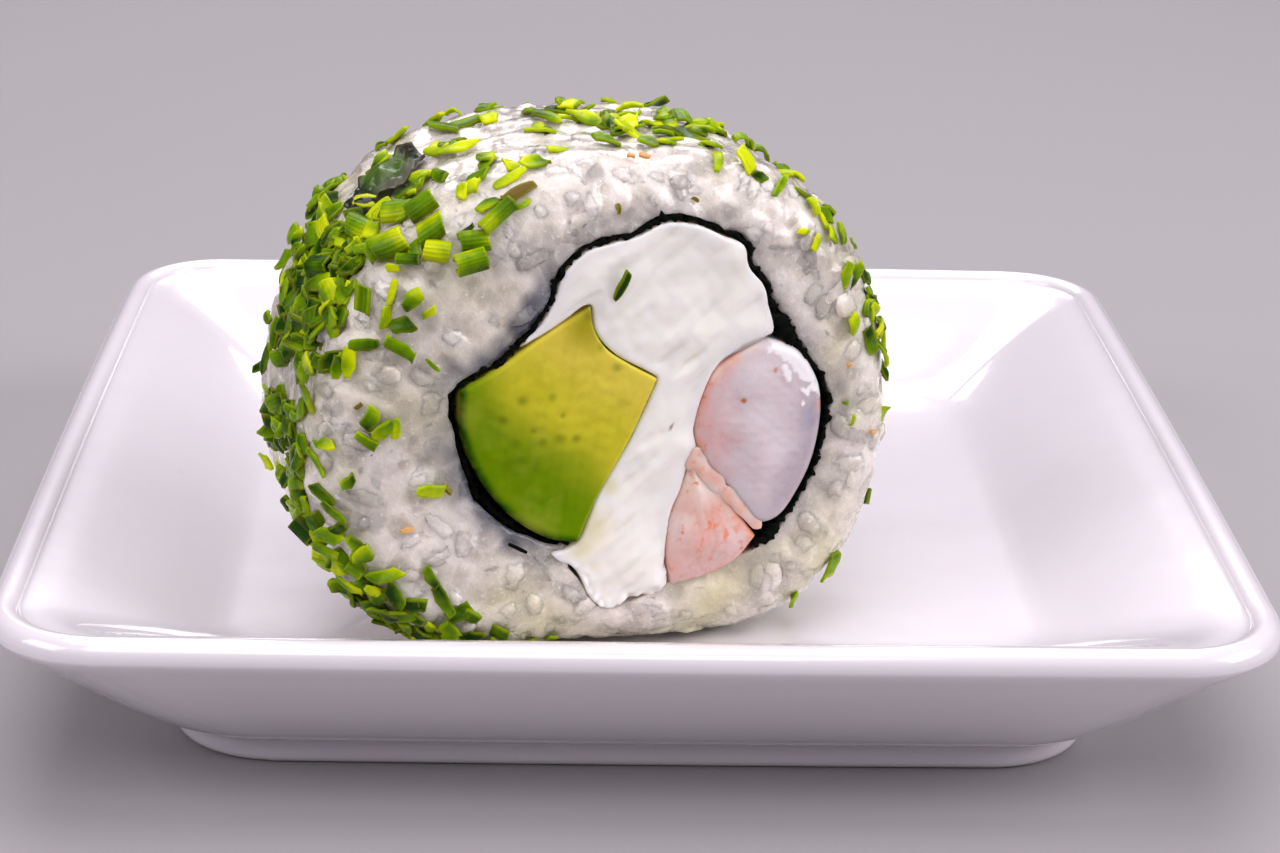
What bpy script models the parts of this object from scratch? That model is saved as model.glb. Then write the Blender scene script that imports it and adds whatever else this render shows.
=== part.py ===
"""An uramaki roll, cut to one thick piece, standing on its side on a small square dish.

The dish is centred on the origin with its foot on Z = 0 and its sides along X and Y. The roll
has a frame of its own, the empty "roll_place": across its cut face along X, into the roll along
Y and up along Z. Outlines of the roll are pairs (across, up) in millimetres from the middle of
the front cut face.
"""

import math

import bmesh
import bpy
import numpy as np

MM = 0.001
GAP = 0.3  # what neighbouring pieces keep free between them

# Dish
RIM_HALF = 50.0
RIM_HEIGHT = 15.9
RIM_CORNER = 9.0
SIDE_BOW = 0.35  # how far the middle of a side stands out
LIP = 1.35  # radius of the rounded lip
LIP_ARC = (-20, 10, 40, 70, 100, 130, 155)  # degrees round the lip, from outside to inside
FLOOR_HEIGHT = 8.0
FLOOR_HALF = 31.2
FLOOR_CORNER = 5.0
# Rings under and outside the dish: (half side, corner radius, height)
FOOT_RINGS = (
    (32.2, 5.0, 3.2), (33.3, 5.6, 2.9), (34.0, 6.2, 0.8), (34.7, 6.8, 0.0),
    (36.7, 8.0, 0.0), (37.3, 8.4, 0.5), (37.4, 8.5, 1.9), (37.9, 8.6, 2.4),
)
OUTER_RINGS = ((39.4, 8.7, 3.3), (42.3, 8.9, 5.9), (45.4, 9.0, 9.1), (48.2, 9.0, 12.1))
# Rings down the inside, from the lip to the crease round the floor
INNER_RINGS = (
    (45.2, 5.6, 14.55), (42.0, 4.6, 13.1), (39.0, 4.2, 11.5), (36.6, 4.0, 10.1),
    (35.2, 4.1, 9.3), (34.0, 4.3, 8.65), (32.7, 4.6, 8.15),
)
CORNER_STEPS = 6
SIDE_STEPS = 5

# Roll: its place, its thickness and its outline
ROLL_X = -1.25
ROLL_Y = -34.6
ROLL_TURN = 18.0  # degrees about Z
ROLL_THICK = 24.0
ROLL_EDGE = 5.0  # how far the rice rounds off at each cut face
ROLL_RADIUS = 22.95
ROLL_WAVES = ((2, 0.08, -0.006), (3, -0.014, -0.025), (4, -0.035, 0.007))  # (n, cos, sin)
ROLL_SIT = 19.9  # the flat spot's depth under the middle
RICE_LUMPS = ((7, 0.72, 0.21), (11, -0.99, 0.17), (17, 1.23, 0.12))  # (n, turn per mm, height)
ROLL_POINTS = 84

# Nori: (across, up, thickness) along its middle, clockwise from the lower left end over the top
# to the lower right end. It is thick where the sheet is folded over.
NORI_LINE = (
    (-4.2, -9.7, 0.4), (-6.1, -9.5, 0.8), (-8.3, -8.2, 0.9), (-10.2, -6.5, 0.8),
    (-11.7, -4.9, 0.9), (-12.8, -2.1, 0.6), (-13.8, 1.4, 0.4), (-14.0, 3.6, 0.4),
    (-12.5, 4.9, 0.35), (-10.4, 5.8, 0.35), (-8.6, 7.3, 0.35), (-6.8, 9.4, 0.35),
    (-5.9, 11.2, 0.4), (-5.3, 12.8, 0.5), (-3.5, 14.5, 0.4), (-1.5, 15.0, 0.5),
    (0.7, 15.4, 0.4), (2.9, 16.4, 0.7), (5.6, 16.0, 0.5), (7.8, 15.0, 0.4),
    (9.7, 14.0, 0.5), (10.2, 12.0, 0.5), (11.6, 10.5, 0.4), (11.9, 8.9, 0.6),
    (13.0, 6.8, 1.5), (14.9, 4.5, 0.5), (16.6, 2.3, 0.35), (17.2, 0.5, 0.4),
    (16.9, -2.4, 0.4), (16.2, -5.2, 0.4), (14.6, -8.2, 0.4), (12.8, -10.3, 0.9),
    (11.3, -11.6, 0.4),
)
# Where the filling meets the rice with no nori, from the right end of the nori to its left end
OPEN_LINE = (
    (10.6, -12.6), (8.6, -13.5), (6.2, -14.2), (3.9, -14.7), (1.6, -15.1), (-1.0, -15.8),
    (-2.5, -14.7), (-3.6, -12.6), (-4.8, -11.3),
)
# Fillings. Each stretch runs smoothly from its first point to the next stretch's first point.
AVOCADO = (
    ((-3.1, 9.9), (-2.8, 8.2), (-1.7, 6.4), (0.0, 5.1)),
    ((2.5, 3.6), (0.3, -1.3), (-2.3, -5.9)),
    ((-3.8, -9.4), (-6.0, -8.9), (-8.8, -7.1), (-11.2, -4.3), (-12.7, -1.4), (-13.5, 1.7)),
    ((-13.4, 3.9), (-10.1, 5.7), (-7.0, 7.7)),
)
SHRIMP_LARGE = (
    (
        (11.3, 6.0), (9.6, 5.4), (7.5, 4.0), (6.3, 1.6), (5.8, -1.0), (6.4, -3.6), (8.8, -6.2),
        (10.2, -8.0), (11.6, -9.5), (13.2, -9.2), (15.2, -6.4), (16.2, -3.8), (16.6, 0.0),
        (16.1, 2.4), (14.3, 4.9),
    ),
)
SHRIMP_SMALL = (
    ((5.6, -3.2), (4.9, -5.6), (3.9, -8.4), (3.7, -11.2)),
    ((4.2, -14.0), (6.6, -13.7), (9.6, -12.6)),
    ((11.4, -10.6), (9.9, -8.6), (8.4, -6.5), (6.4, -4.6)),
)
# The cream cheese takes what is left between these bounds
CHEESE_BOUNDS = (
    (-9.0, 6.6), (-9.0, 18.0), (14.0, 18.0), (14.0, 5.0), (10.0, 2.0), (10.0, -5.0),
    (7.0, -10.0), (7.0, -18.0), (-6.0, -18.0), (-6.0, -8.0), (-5.0, 0.0),
)
# How far each piece's cut ends stand out of the rice's faces
PROUD = {"nori": 0.25, "cream_cheese": 0.1, "avocado": 0.35, "shrimp_large": 0.5, "shrimp_small": 0.4}
SOFT_EDGE = 0.35  # rounding of the fillings' cut edges
SOFT_CORNER = 50  # degrees: sharper corners are rounded
CUTTER_OVER = 2.0  # how far a cutter runs past the roll's faces
LINE_STEPS = 3  # points to a stretch of the nori's line and the open line
SHAPE_STEPS = 4  # points to a stretch of a filling's outline
WELD_REACH = 0.01
FLAT_TURN = 0.6  # degrees: faces that turn less are one
SHADE_TURN = 40  # degrees: sharper edges are shaded sharp

# Colours (linear RGB), roughness
FINISH = {
    "dish": ((0.80, 0.78, 0.80), 0.12),
    "rice": ((0.72, 0.70, 0.66), 0.45),
    "nori": ((0.012, 0.016, 0.012), 0.55),
    "cream_cheese": ((0.86, 0.82, 0.74), 0.50),
    "avocado": ((0.33, 0.42, 0.035), 0.40),
    "shrimp_large": ((0.62, 0.50, 0.47), 0.32),
    "shrimp_small": ((0.66, 0.42, 0.37), 0.34),
}


def clear_scene():
    for obj in list(bpy.data.objects):
        bpy.data.objects.remove(obj)


def new_collection(name, hidden=False):
    collection = bpy.data.collections.new(name)
    collection.hide_render = hidden
    bpy.context.scene.collection.children.link(collection)
    return collection


def finish(name):
    colour, roughness = FINISH[name]
    material = bpy.data.materials.new(name)
    material.use_nodes = True
    shader = material.node_tree.nodes["Principled BSDF"]
    shader.inputs["Base Color"].default_value = (*colour, 1.0)
    shader.inputs["Roughness"].default_value = roughness
    shader.inputs["Metallic"].default_value = 0.0
    return material


def add_object(name, data, collection):
    obj = bpy.data.objects.new(name, data)
    collection.objects.link(obj)
    if name in FINISH:
        data.materials.append(finish(name))
    return obj


def smooth_faces(mesh):
    mesh.shade_smooth()
    mesh.set_sharp_from_angle(angle=math.radians(SHADE_TURN))


def loft(name, rings, collection):
    """A closed skin through rings of equal point count, with a flat cap on the first and the last."""
    around = len(rings[0])
    points = [tuple(MM * c for c in point) for ring in rings for point in ring]
    faces = []
    for row in range(len(rings) - 1):
        for i in range(around):
            j = (i + 1) % around
            low, high = row * around, (row + 1) * around
            faces.append((low + i, low + j, high + j, high + i))
    last = (len(rings) - 1) * around
    faces.append(tuple(reversed(range(around))))
    faces.append(tuple(range(last, last + around)))
    mesh = bpy.data.meshes.new(name)
    mesh.from_pydata(points, [], faces)
    build = bmesh.new()
    build.from_mesh(mesh)
    bmesh.ops.recalc_face_normals(build, faces=build.faces)
    build.to_mesh(mesh)
    build.free()
    smooth_faces(mesh)
    return add_object(name, mesh, collection)


# ---- dish ----


def rounded_square(half, corner, height):
    """A ring of points round a square with arcs for corners and slightly bowed sides."""
    ring = []
    for quarter in range(4):
        turn = quarter * math.pi / 2
        flat = half - corner
        local = []
        for i in range(SIDE_STEPS):
            along = -flat + 2 * flat * i / SIDE_STEPS
            local.append((half, along))
        for i in range(CORNER_STEPS):
            angle = (math.pi / 2) * i / CORNER_STEPS
            local.append((flat + corner * math.cos(angle), flat + corner * math.sin(angle)))
        for out, along in local:
            out += SIDE_BOW * (half / RIM_HALF) * max(0.0, 1 - (along / half) ** 2)
            x = out * math.cos(turn) - along * math.sin(turn)
            y = out * math.sin(turn) + along * math.cos(turn)
            ring.append((x, y, height))
    return ring


def lip_rings():
    """Rings round the lip's arc, whose corner radius shrinks as the ring does."""
    rings = []
    for degrees in LIP_ARC:
        angle = math.radians(degrees)
        drawn_in = LIP * (1 - math.cos(angle))
        rings.append((RIM_HALF - drawn_in, RIM_CORNER - drawn_in, RIM_HEIGHT - LIP * (1 - math.sin(angle))))
    return tuple(rings)


def build_dish(collection):
    """The rings run from the middle of the underside, over the lip, to the middle of the floor."""
    floor = ((FLOOR_HALF, FLOOR_CORNER, FLOOR_HEIGHT),)
    rings = FOOT_RINGS + OUTER_RINGS + lip_rings() + INNER_RINGS + floor
    return loft("dish", [rounded_square(*ring) for ring in rings], collection)


# ---- roll outlines ----


def spline(points, closed, steps):
    """Points of a centripetal Catmull-Rom curve through the given ones, steps to a stretch."""
    given = np.array(points, float)
    if closed:
        given = np.vstack([given[-1:], given, given[:2]])
    else:
        given = np.vstack([2 * given[:1] - given[1:2], given, 2 * given[-1:] - given[-2:-1]])
    found = []
    for p0, p1, p2, p3 in zip(given, given[1:], given[2:], given[3:]):
        knots = np.cumsum([0.0] + [math.dist(a, b) ** 0.5 for a, b in ((p0, p1), (p1, p2), (p2, p3))])
        for i in range(steps):
            t = knots[1] + (knots[2] - knots[1]) * i / steps
            a = [
                ((knots[k + 1] - t) * p + (t - knots[k]) * q) / (knots[k + 1] - knots[k])
                for k, (p, q) in enumerate(((p0, p1), (p1, p2), (p2, p3)))
            ]
            b = [
                ((knots[k + 2] - t) * a[k] + (t - knots[k]) * a[k + 1]) / (knots[k + 2] - knots[k])
                for k in range(2)
            ]
            found.append(((knots[2] - t) * b[0] + (t - knots[1]) * b[1]) / (knots[2] - knots[1]))
    if not closed:
        found.append(given[-2])
    return np.array(found)


def outline(stretches, steps):
    """A closed outline: one smooth loop, or smooth stretches that meet at corners."""
    if len(stretches) == 1:
        return spline(stretches[0], True, steps)
    parts = []
    for i, stretch in enumerate(stretches):
        corner = stretches[(i + 1) % len(stretches)][0]
        parts.append(spline((*stretch, corner), False, steps)[:-1])
    return np.vstack(parts)


def sideways(points, closed):
    """The unit normal at each point, to the left of the way the points run."""
    if closed:
        along = np.roll(points, -1, 0) - np.roll(points, 1, 0)
    else:
        along = np.gradient(points, axis=0)
    normal = np.stack([-along[:, 1], along[:, 0]], 1)
    return normal / np.linalg.norm(normal, axis=1, keepdims=True)


def grown(points, distance):
    """A closed outline moved outwards by a distance, whichever way round it runs."""
    following = np.roll(points, -1, 0)
    area = (points[:, 0] * following[:, 1] - points[:, 1] * following[:, 0]).sum()
    return points - sideways(points, True) * distance * np.sign(area)


def nori_band(room=0.0):
    """The nori's strip as a closed outline, with room added on its sides and at its ends."""
    line = spline(NORI_LINE, False, LINE_STEPS)
    middle, half = line[:, :2], line[:, 2:] / 2 + room
    for end, inside in ((0, 1), (-1, -2)):
        along = middle[end] - middle[inside]
        middle[end] = middle[end] + along / np.linalg.norm(along) * room
    side = sideways(middle, False) * half
    return np.vstack([middle + side, (middle - side)[::-1]])


def filling_outline():
    """Where the rice ends: outside the nori with a gap, and along the open line under it."""
    line = spline(NORI_LINE, False, LINE_STEPS)
    outside = line[:, :2] + sideways(line[:, :2], False) * (line[:, 2:] / 2 + GAP)
    return np.vstack([outside, spline(OPEN_LINE, False, LINE_STEPS)])


def roll_radius(angle):
    """The roll's outline as its distance from the middle: a circle with a few named waves."""
    waves = [c * np.cos(n * angle) + s * np.sin(n * angle) for n, c, s in ROLL_WAVES]
    return ROLL_RADIUS * (1 + sum(waves))


def roll_ring(depth):
    """The rice's outer ring at a depth behind the front face, rounded in near both faces."""
    angle = np.linspace(0, 2 * math.pi, ROLL_POINTS, endpoint=False)
    from_face = min(depth, ROLL_THICK - depth, ROLL_EDGE)
    drawn_in = ROLL_EDGE - math.sqrt(ROLL_EDGE**2 - (ROLL_EDGE - from_face) ** 2)
    lumps = sum(high * np.sin(n * angle + turn * depth + n) for n, turn, high in RICE_LUMPS)
    radius = roll_radius(angle) - drawn_in + lumps
    up = np.maximum(radius * np.sin(angle), -ROLL_SIT + drawn_in)
    return [(a, depth, u) for a, u in zip(radius * np.cos(angle), up)]


# ---- roll solids ----


def prism(name, points, overhang, collection, place):
    """A flat outline carried straight through the roll, past both faces by the overhang."""
    curve = bpy.data.curves.new(name, "CURVE")
    curve.dimensions = "2D"
    curve.fill_mode = "BOTH"
    curve.extrude = MM * (ROLL_THICK / 2 + overhang)
    path = curve.splines.new("POLY")
    path.points.add(len(points) - 1)
    for point, (across, up) in zip(path.points, points):
        point.co = (MM * across, MM * up, 0.0, 1.0)
    path.use_cyclic_u = True
    guide = bpy.data.objects.new(name + "_outline", curve)
    collection.objects.link(guide)
    guide.parent = place
    guide.location = (0.0, MM * ROLL_THICK / 2, 0.0)
    guide.rotation_euler = (math.pi / 2, 0.0, 0.0)
    bpy.context.view_layer.update()
    graph = bpy.context.evaluated_depsgraph_get()
    mesh = bpy.data.meshes.new_from_object(guide.evaluated_get(graph))
    mesh.name = name
    weld = bmesh.new()
    weld.from_mesh(mesh)
    bmesh.ops.remove_doubles(weld, verts=weld.verts, dist=MM * WELD_REACH)
    flat = math.radians(FLAT_TURN)
    bmesh.ops.dissolve_limit(weld, angle_limit=flat, verts=weld.verts, edges=weld.edges)
    bmesh.ops.recalc_face_normals(weld, faces=weld.faces)
    weld.to_mesh(mesh)
    weld.free()
    obj = add_object(name, mesh, collection)
    obj.matrix_world = guide.matrix_world
    bpy.data.objects.remove(guide)
    smooth_faces(mesh)
    return obj


def cutter(name, points, collection, place):
    obj = prism(name, points, CUTTER_OVER, collection, place)
    obj.hide_render = True
    obj.display_type = "WIRE"
    return obj


def boolean(obj, tool, operation="DIFFERENCE"):
    modifier = obj.modifiers.new(tool.name, "BOOLEAN")
    modifier.operation = operation
    modifier.solver = "EXACT"
    modifier.object = tool


def round_cut_edges(obj):
    modifier = obj.modifiers.new("soft_edge", "BEVEL")
    modifier.width = MM * SOFT_EDGE
    modifier.segments = 2
    modifier.limit_method = "ANGLE"
    modifier.angle_limit = math.radians(SOFT_CORNER)


def build_roll(parts, cutters):
    place = bpy.data.objects.new("roll_place", None)
    parts.objects.link(place)
    place.location = (MM * ROLL_X, MM * ROLL_Y, MM * (FLOOR_HEIGHT + GAP + ROLL_SIT))
    place.rotation_euler = (0.0, 0.0, math.radians(ROLL_TURN))
    bpy.context.view_layer.update()

    shapes = {
        "avocado": outline(AVOCADO, SHAPE_STEPS),
        "shrimp_large": outline(SHRIMP_LARGE, SHAPE_STEPS),
        "shrimp_small": outline(SHRIMP_SMALL, SHAPE_STEPS),
    }
    hollow = cutter("hollow", filling_outline(), cutters, place)
    filled = cutter("filled", grown(filling_outline(), -GAP), cutters, place)
    band = cutter("nori_room", nori_band(GAP), cutters, place)
    room = {
        name: cutter(name + "_room", grown(points, GAP), cutters, place)
        for name, points in shapes.items()
    }

    front = [ROLL_EDGE * (1 - math.cos(math.radians(d))) for d in (0, 30, 60, 90)]
    middle = [ROLL_EDGE + (ROLL_THICK - 2 * ROLL_EDGE) * share for share in (0.25, 0.5, 0.75)]
    back = [ROLL_THICK - depth for depth in reversed(front)]
    rice = loft("rice", [roll_ring(depth) for depth in front + middle + back], parts)
    rice.parent = place
    boolean(rice, hollow)

    prism("nori", nori_band(), PROUD["nori"], parts, place)

    for name, points in shapes.items():
        piece = prism(name, points, PROUD[name], parts, place)
        round_cut_edges(piece)
        boolean(piece, band)
        boolean(piece, filled, "INTERSECT")
        if name == "shrimp_small":
            boolean(piece, room["shrimp_large"])

    bounds = np.array(CHEESE_BOUNDS)
    cheese = prism("cream_cheese", bounds, PROUD["cream_cheese"], parts, place)
    boolean(cheese, filled, "INTERSECT")
    for tool in (band, *room.values()):
        boolean(cheese, tool)


def main():
    clear_scene()
    parts = new_collection("uramaki_roll_on_dish")
    cutters = new_collection("cutters", hidden=True)
    build_dish(parts)
    build_roll(parts, cutters)


main()
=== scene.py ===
"""Looks of an uramaki roll standing on its side on a small square dish.

The roll has a frame of its own: across its cut face, depth into the roll from the front face, and
up. Lengths in the lists below are millimetres in that frame, and placed() turns them to the world.
"""

import math
from functools import partial

import bpy
import numpy as np
from bpy.props import FloatProperty, FloatVectorProperty, IntProperty, PointerProperty
from bpy.types import Operator, Panel, PropertyGroup
from mathutils import Matrix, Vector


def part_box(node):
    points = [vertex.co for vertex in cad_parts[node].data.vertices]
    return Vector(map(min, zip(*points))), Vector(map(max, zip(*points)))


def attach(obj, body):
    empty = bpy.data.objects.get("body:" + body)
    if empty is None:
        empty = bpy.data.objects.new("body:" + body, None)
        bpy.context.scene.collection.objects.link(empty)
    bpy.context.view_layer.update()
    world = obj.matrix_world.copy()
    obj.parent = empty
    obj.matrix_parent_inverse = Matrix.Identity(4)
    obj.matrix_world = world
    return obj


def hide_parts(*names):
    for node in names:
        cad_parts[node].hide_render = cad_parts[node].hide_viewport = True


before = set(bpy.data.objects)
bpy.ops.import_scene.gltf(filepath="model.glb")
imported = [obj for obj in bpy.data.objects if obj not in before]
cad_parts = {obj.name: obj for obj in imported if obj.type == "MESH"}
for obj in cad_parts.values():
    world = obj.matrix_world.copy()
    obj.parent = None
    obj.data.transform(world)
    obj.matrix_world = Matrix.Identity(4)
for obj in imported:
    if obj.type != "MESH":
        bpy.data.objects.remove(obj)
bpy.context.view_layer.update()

bl_info = {
    "name": "Uramaki roll on a square dish",
    "version": (1, 0, 0),
    "blender": (4, 5, 0),
    "location": "3D View > Sidebar > Uramaki",
    "description": "Gives the uramaki roll and its dish their finished pieces and materials",
    "category": "Object",
}

MM = 0.001
BODY = "root"
DISH_HIGH = np.array(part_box("dish")[1]) / MM

# ---- the roll's own measures ----

ROLL_PLACE = (-1.25, -34.6, 28.2)
ROLL_TURN = math.radians(18)
ROLL_THICK = 24.0
ROLL_EDGE = 5.0
ROLL_RADIUS = 22.95
ROLL_WAVES = ((2, 0.08, -0.006), (3, -0.014, -0.025), (4, -0.035, 0.007))
ROLL_SIT = 19.9
EDGE_RUN = ROLL_EDGE * math.pi / 2
SIDE_RUN = ROLL_THICK - 2 * ROLL_EDGE
WHOLE_RUN = 2 * EDGE_RUN + SIDE_RUN

NORI_LINE = (
    (-4.2, -9.7, 0.4), (-6.1, -9.5, 0.8), (-8.3, -8.2, 0.9), (-10.2, -6.5, 0.8),
    (-11.7, -4.9, 0.9), (-12.8, -2.1, 0.6), (-13.8, 1.4, 0.4), (-14.0, 3.6, 0.4),
    (-12.5, 4.9, 0.35), (-10.4, 5.8, 0.35), (-8.6, 7.3, 0.35), (-6.8, 9.4, 0.35),
    (-5.9, 11.2, 0.4), (-5.3, 12.8, 0.5), (-3.5, 14.5, 0.4), (-1.5, 15.0, 0.5),
    (0.7, 15.4, 0.4), (2.9, 16.4, 0.7), (5.6, 16.0, 0.5), (7.8, 15.0, 0.4),
    (9.7, 14.0, 0.5), (10.2, 12.0, 0.5), (11.6, 10.5, 0.4), (11.9, 8.9, 0.6),
    (13.0, 6.8, 1.5), (14.9, 4.5, 0.5), (16.6, 2.3, 0.35), (17.2, 0.5, 0.4),
    (16.9, -2.4, 0.4), (16.2, -5.2, 0.4), (14.6, -8.2, 0.4), (12.8, -10.3, 0.9),
    (11.3, -11.6, 0.4),
)
OPEN_LINE = (
    (10.6, -12.6), (8.6, -13.5), (6.2, -14.2), (3.9, -14.7), (1.6, -15.1), (-1.0, -15.8),
    (-2.5, -14.7), (-3.6, -12.6), (-4.8, -11.3),
)
AVOCADO = (
    ((-3.1, 9.9), (-2.8, 8.2), (-1.7, 6.4), (0.0, 5.1)),
    ((2.5, 3.6), (0.3, -1.3), (-2.3, -5.9)),
    ((-3.8, -9.4), (-6.0, -8.9), (-8.8, -7.1), (-11.2, -4.3), (-12.7, -1.4), (-13.5, 1.7)),
    ((-13.4, 3.9), (-10.1, 5.7), (-7.0, 7.7)),
)
SHRIMP_LARGE = (
    (
        (11.3, 6.0), (9.6, 5.4), (7.5, 4.0), (6.3, 1.6), (5.8, -1.0), (6.4, -3.6), (8.8, -6.2),
        (10.2, -8.0), (11.6, -9.5), (13.2, -9.2), (15.2, -6.4), (16.2, -3.8), (16.6, 0.0),
        (16.1, 2.4), (14.3, 4.9),
    ),
)
SHRIMP_SMALL = (
    ((5.6, -3.2), (4.9, -5.6), (3.9, -8.4), (3.7, -11.2)),
    ((4.2, -14.0), (6.6, -13.7), (9.6, -12.6)),
    ((11.4, -10.6), (9.9, -8.6), (8.4, -6.5), (6.4, -4.6)),
)


def display(red, green, blue):
    """A colour given as 0 to 255 display values, as the linear values the shaders take."""
    value = np.array([red, green, blue]) / 255
    return tuple(np.where(value <= 0.04045, value / 12.92, ((value + 0.055) / 1.055) ** 2.4))


# ---- numbers and curves ----


def placed(points):
    """Roll millimetres to world metres: turned about Z by ROLL_TURN, then moved to the roll's place."""
    across, depth, up = np.moveaxis(np.asarray(points, float), -1, 0)
    cos, sin = math.cos(ROLL_TURN), math.sin(ROLL_TURN)
    x = ROLL_PLACE[0] + cos * across - sin * depth
    y = ROLL_PLACE[1] + sin * across + cos * depth
    return MM * np.stack([x, y, ROLL_PLACE[2] + up], -1)


def unit(vectors):
    return vectors / np.maximum(np.linalg.norm(vectors, axis=-1, keepdims=True), 1e-9)


def smooth(value, low, high):
    """0 below low, 1 above high, and an S curve 3t2 - 2t3 between them."""
    t = np.clip((value - low) / (high - low), 0, 1)
    return t * t * (3 - 2 * t)


def ripple(points, size, seed, waves=14):
    """Smooth noise near -1 to 1: a sum of sine waves in seeded directions, about size long."""
    rng = np.random.default_rng(seed)
    way = unit(rng.normal(size=(waves, points.shape[-1])))
    way *= (2 * math.pi / (size * rng.uniform(0.7, 1.6, waves)))[:, None]
    phase = rng.uniform(0, 2 * math.pi, waves)
    return np.sin(points @ way.T + phase).sum(-1) / math.sqrt(waves)


def spline(points, closed, steps):
    """A centripetal Catmull-Rom curve through the points: knots grow by the root of each distance."""
    given = np.array(points, float)
    if closed:
        given = np.vstack([given[-1:], given, given[:2]])
    else:
        given = np.vstack([2 * given[:1] - given[1:2], given, 2 * given[-1:] - given[-2:-1]])
    gaps = np.sqrt(np.linalg.norm(np.diff(given, axis=0), axis=1))
    knot = np.concatenate([[0], np.cumsum(gaps)])
    k = [knot[i : len(knot) - 3 + i, None, None] for i in range(4)]
    p = [given[i : len(given) - 3 + i, None, :] for i in range(4)]
    t = k[1] + (k[2] - k[1]) * (np.arange(steps) / steps)[None, :, None]
    a = [((k[i + 1] - t) * p[i] + (t - k[i]) * p[i + 1]) / (k[i + 1] - k[i]) for i in range(3)]
    b = [((k[i + 2] - t) * a[i] + (t - k[i]) * a[i + 1]) / (k[i + 2] - k[i]) for i in range(2)]
    found = ((k[2] - t) * b[0] + (t - k[1]) * b[1]) / (k[2] - k[1])
    found = found.reshape(-1, given.shape[1])
    return found if closed else np.vstack([found, given[-2:-1]])


def outline(stretches, steps=8):
    """A closed outline: one smooth loop, or smooth stretches that meet at corners."""
    if len(stretches) == 1:
        return spline(stretches[0], True, steps)
    ends = [stretches[(i + 1) % len(stretches)][0] for i in range(len(stretches))]
    parts = [spline((*stretch, end), False, steps)[:-1] for stretch, end in zip(stretches, ends)]
    return np.vstack(parts)


def spaced(points, count, closed=False):
    """The same line as count points an equal way apart."""
    line = np.vstack([points, points[:1]]) if closed else np.asarray(points, float)
    way = np.concatenate([[0], np.cumsum(np.linalg.norm(np.diff(line, axis=0), axis=1))])
    at = np.linspace(0, way[-1], count, endpoint=not closed)
    return np.stack([np.interp(at, way, column) for column in line.T], -1)


def sideways(points):
    """The unit normal at each point of an open line, to the left of the way it runs."""
    along = np.gradient(points, axis=0)
    return unit(np.stack([-along[:, 1], along[:, 0]], 1))


def polar(line, angle):
    """How far a closed outline round the middle is in each direction."""
    direction = np.arctan2(line[:, 1], line[:, 0]) % (2 * math.pi)
    order = np.argsort(direction)
    away = np.hypot(line[:, 0], line[:, 1])
    return np.interp(angle, direction[order], away[order], period=2 * math.pi)


def distance_to(points, line):
    """The shortest distance from each flat point to the points of a line."""
    flat = np.asarray(points).reshape(-1, 2)
    found = np.empty(len(flat))
    for part in np.array_split(np.arange(len(flat)), max(1, len(flat) // 4000)):
        gap = flat[part, None, :] - line[None, :, :]
        found[part] = np.sqrt((gap**2).sum(-1).min(1))
    return found.reshape(np.shape(points)[:-1])


def near(flat, spots, soft=1.0):
    """The strongest of soft round dabs, each (across, up, radius): 1 in its middle, 0 outside."""
    found = np.zeros(flat.shape[:-1])
    for across, up, radius in spots:
        away = np.hypot(flat[..., 0] - across, flat[..., 1] - up)
        found = np.maximum(found, 1 - smooth(away, radius * (1 - soft), radius))
    return found


def blend(first, second, factor):
    factor = np.clip(factor, 0, 1)[..., None]
    return np.asarray(first) * (1 - factor) + np.asarray(second) * factor


def layers(base, *coats):
    """A colour with coats laid over it in turn, each a colour and how far it covers."""
    for colour, cover in coats:
        base = blend(base, colour, cover)
    return base


# ---- surfaces and meshes ----


def grid_faces(rows, columns, wrap=False):
    """Quads of a grid of points numbered row by row; wrap joins the last column to the first."""
    along = np.arange(columns if wrap else columns - 1)
    after = (along + 1) % columns
    low = np.arange(rows - 1)[:, None] * columns
    corners = [low + along, low + after, low + columns + after, low + columns + along]
    return np.stack(corners, -1).reshape(-1, 4)


def tube_faces(rows, around):
    """Quads of a grid that closes round, and a fan to one pole at each end (the last two points)."""
    i = np.arange(around)
    j = (i + 1) % around
    first, last, top = rows * around, rows * around + 1, (rows - 1) * around
    fans = [np.stack([np.full(around, first), j, i], -1)]
    fans.append(np.stack([np.full(around, last), top + i, top + j], -1))
    return grid_faces(rows, around, wrap=True), np.vstack(fans)


def repeated(faces, count, points_each):
    """The faces of one shape for each of its copies, whose points follow one another."""
    step = (np.arange(count) * points_each)[:, None, None]
    return (faces[None] + step).reshape(-1, faces.shape[1])


def signed_volume(points, quads, tris):
    triangles = np.vstack([quads[:, [0, 1, 2]], quads[:, [0, 2, 3]], tris])
    return np.linalg.det(points[triangles]).sum() / 6


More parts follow.
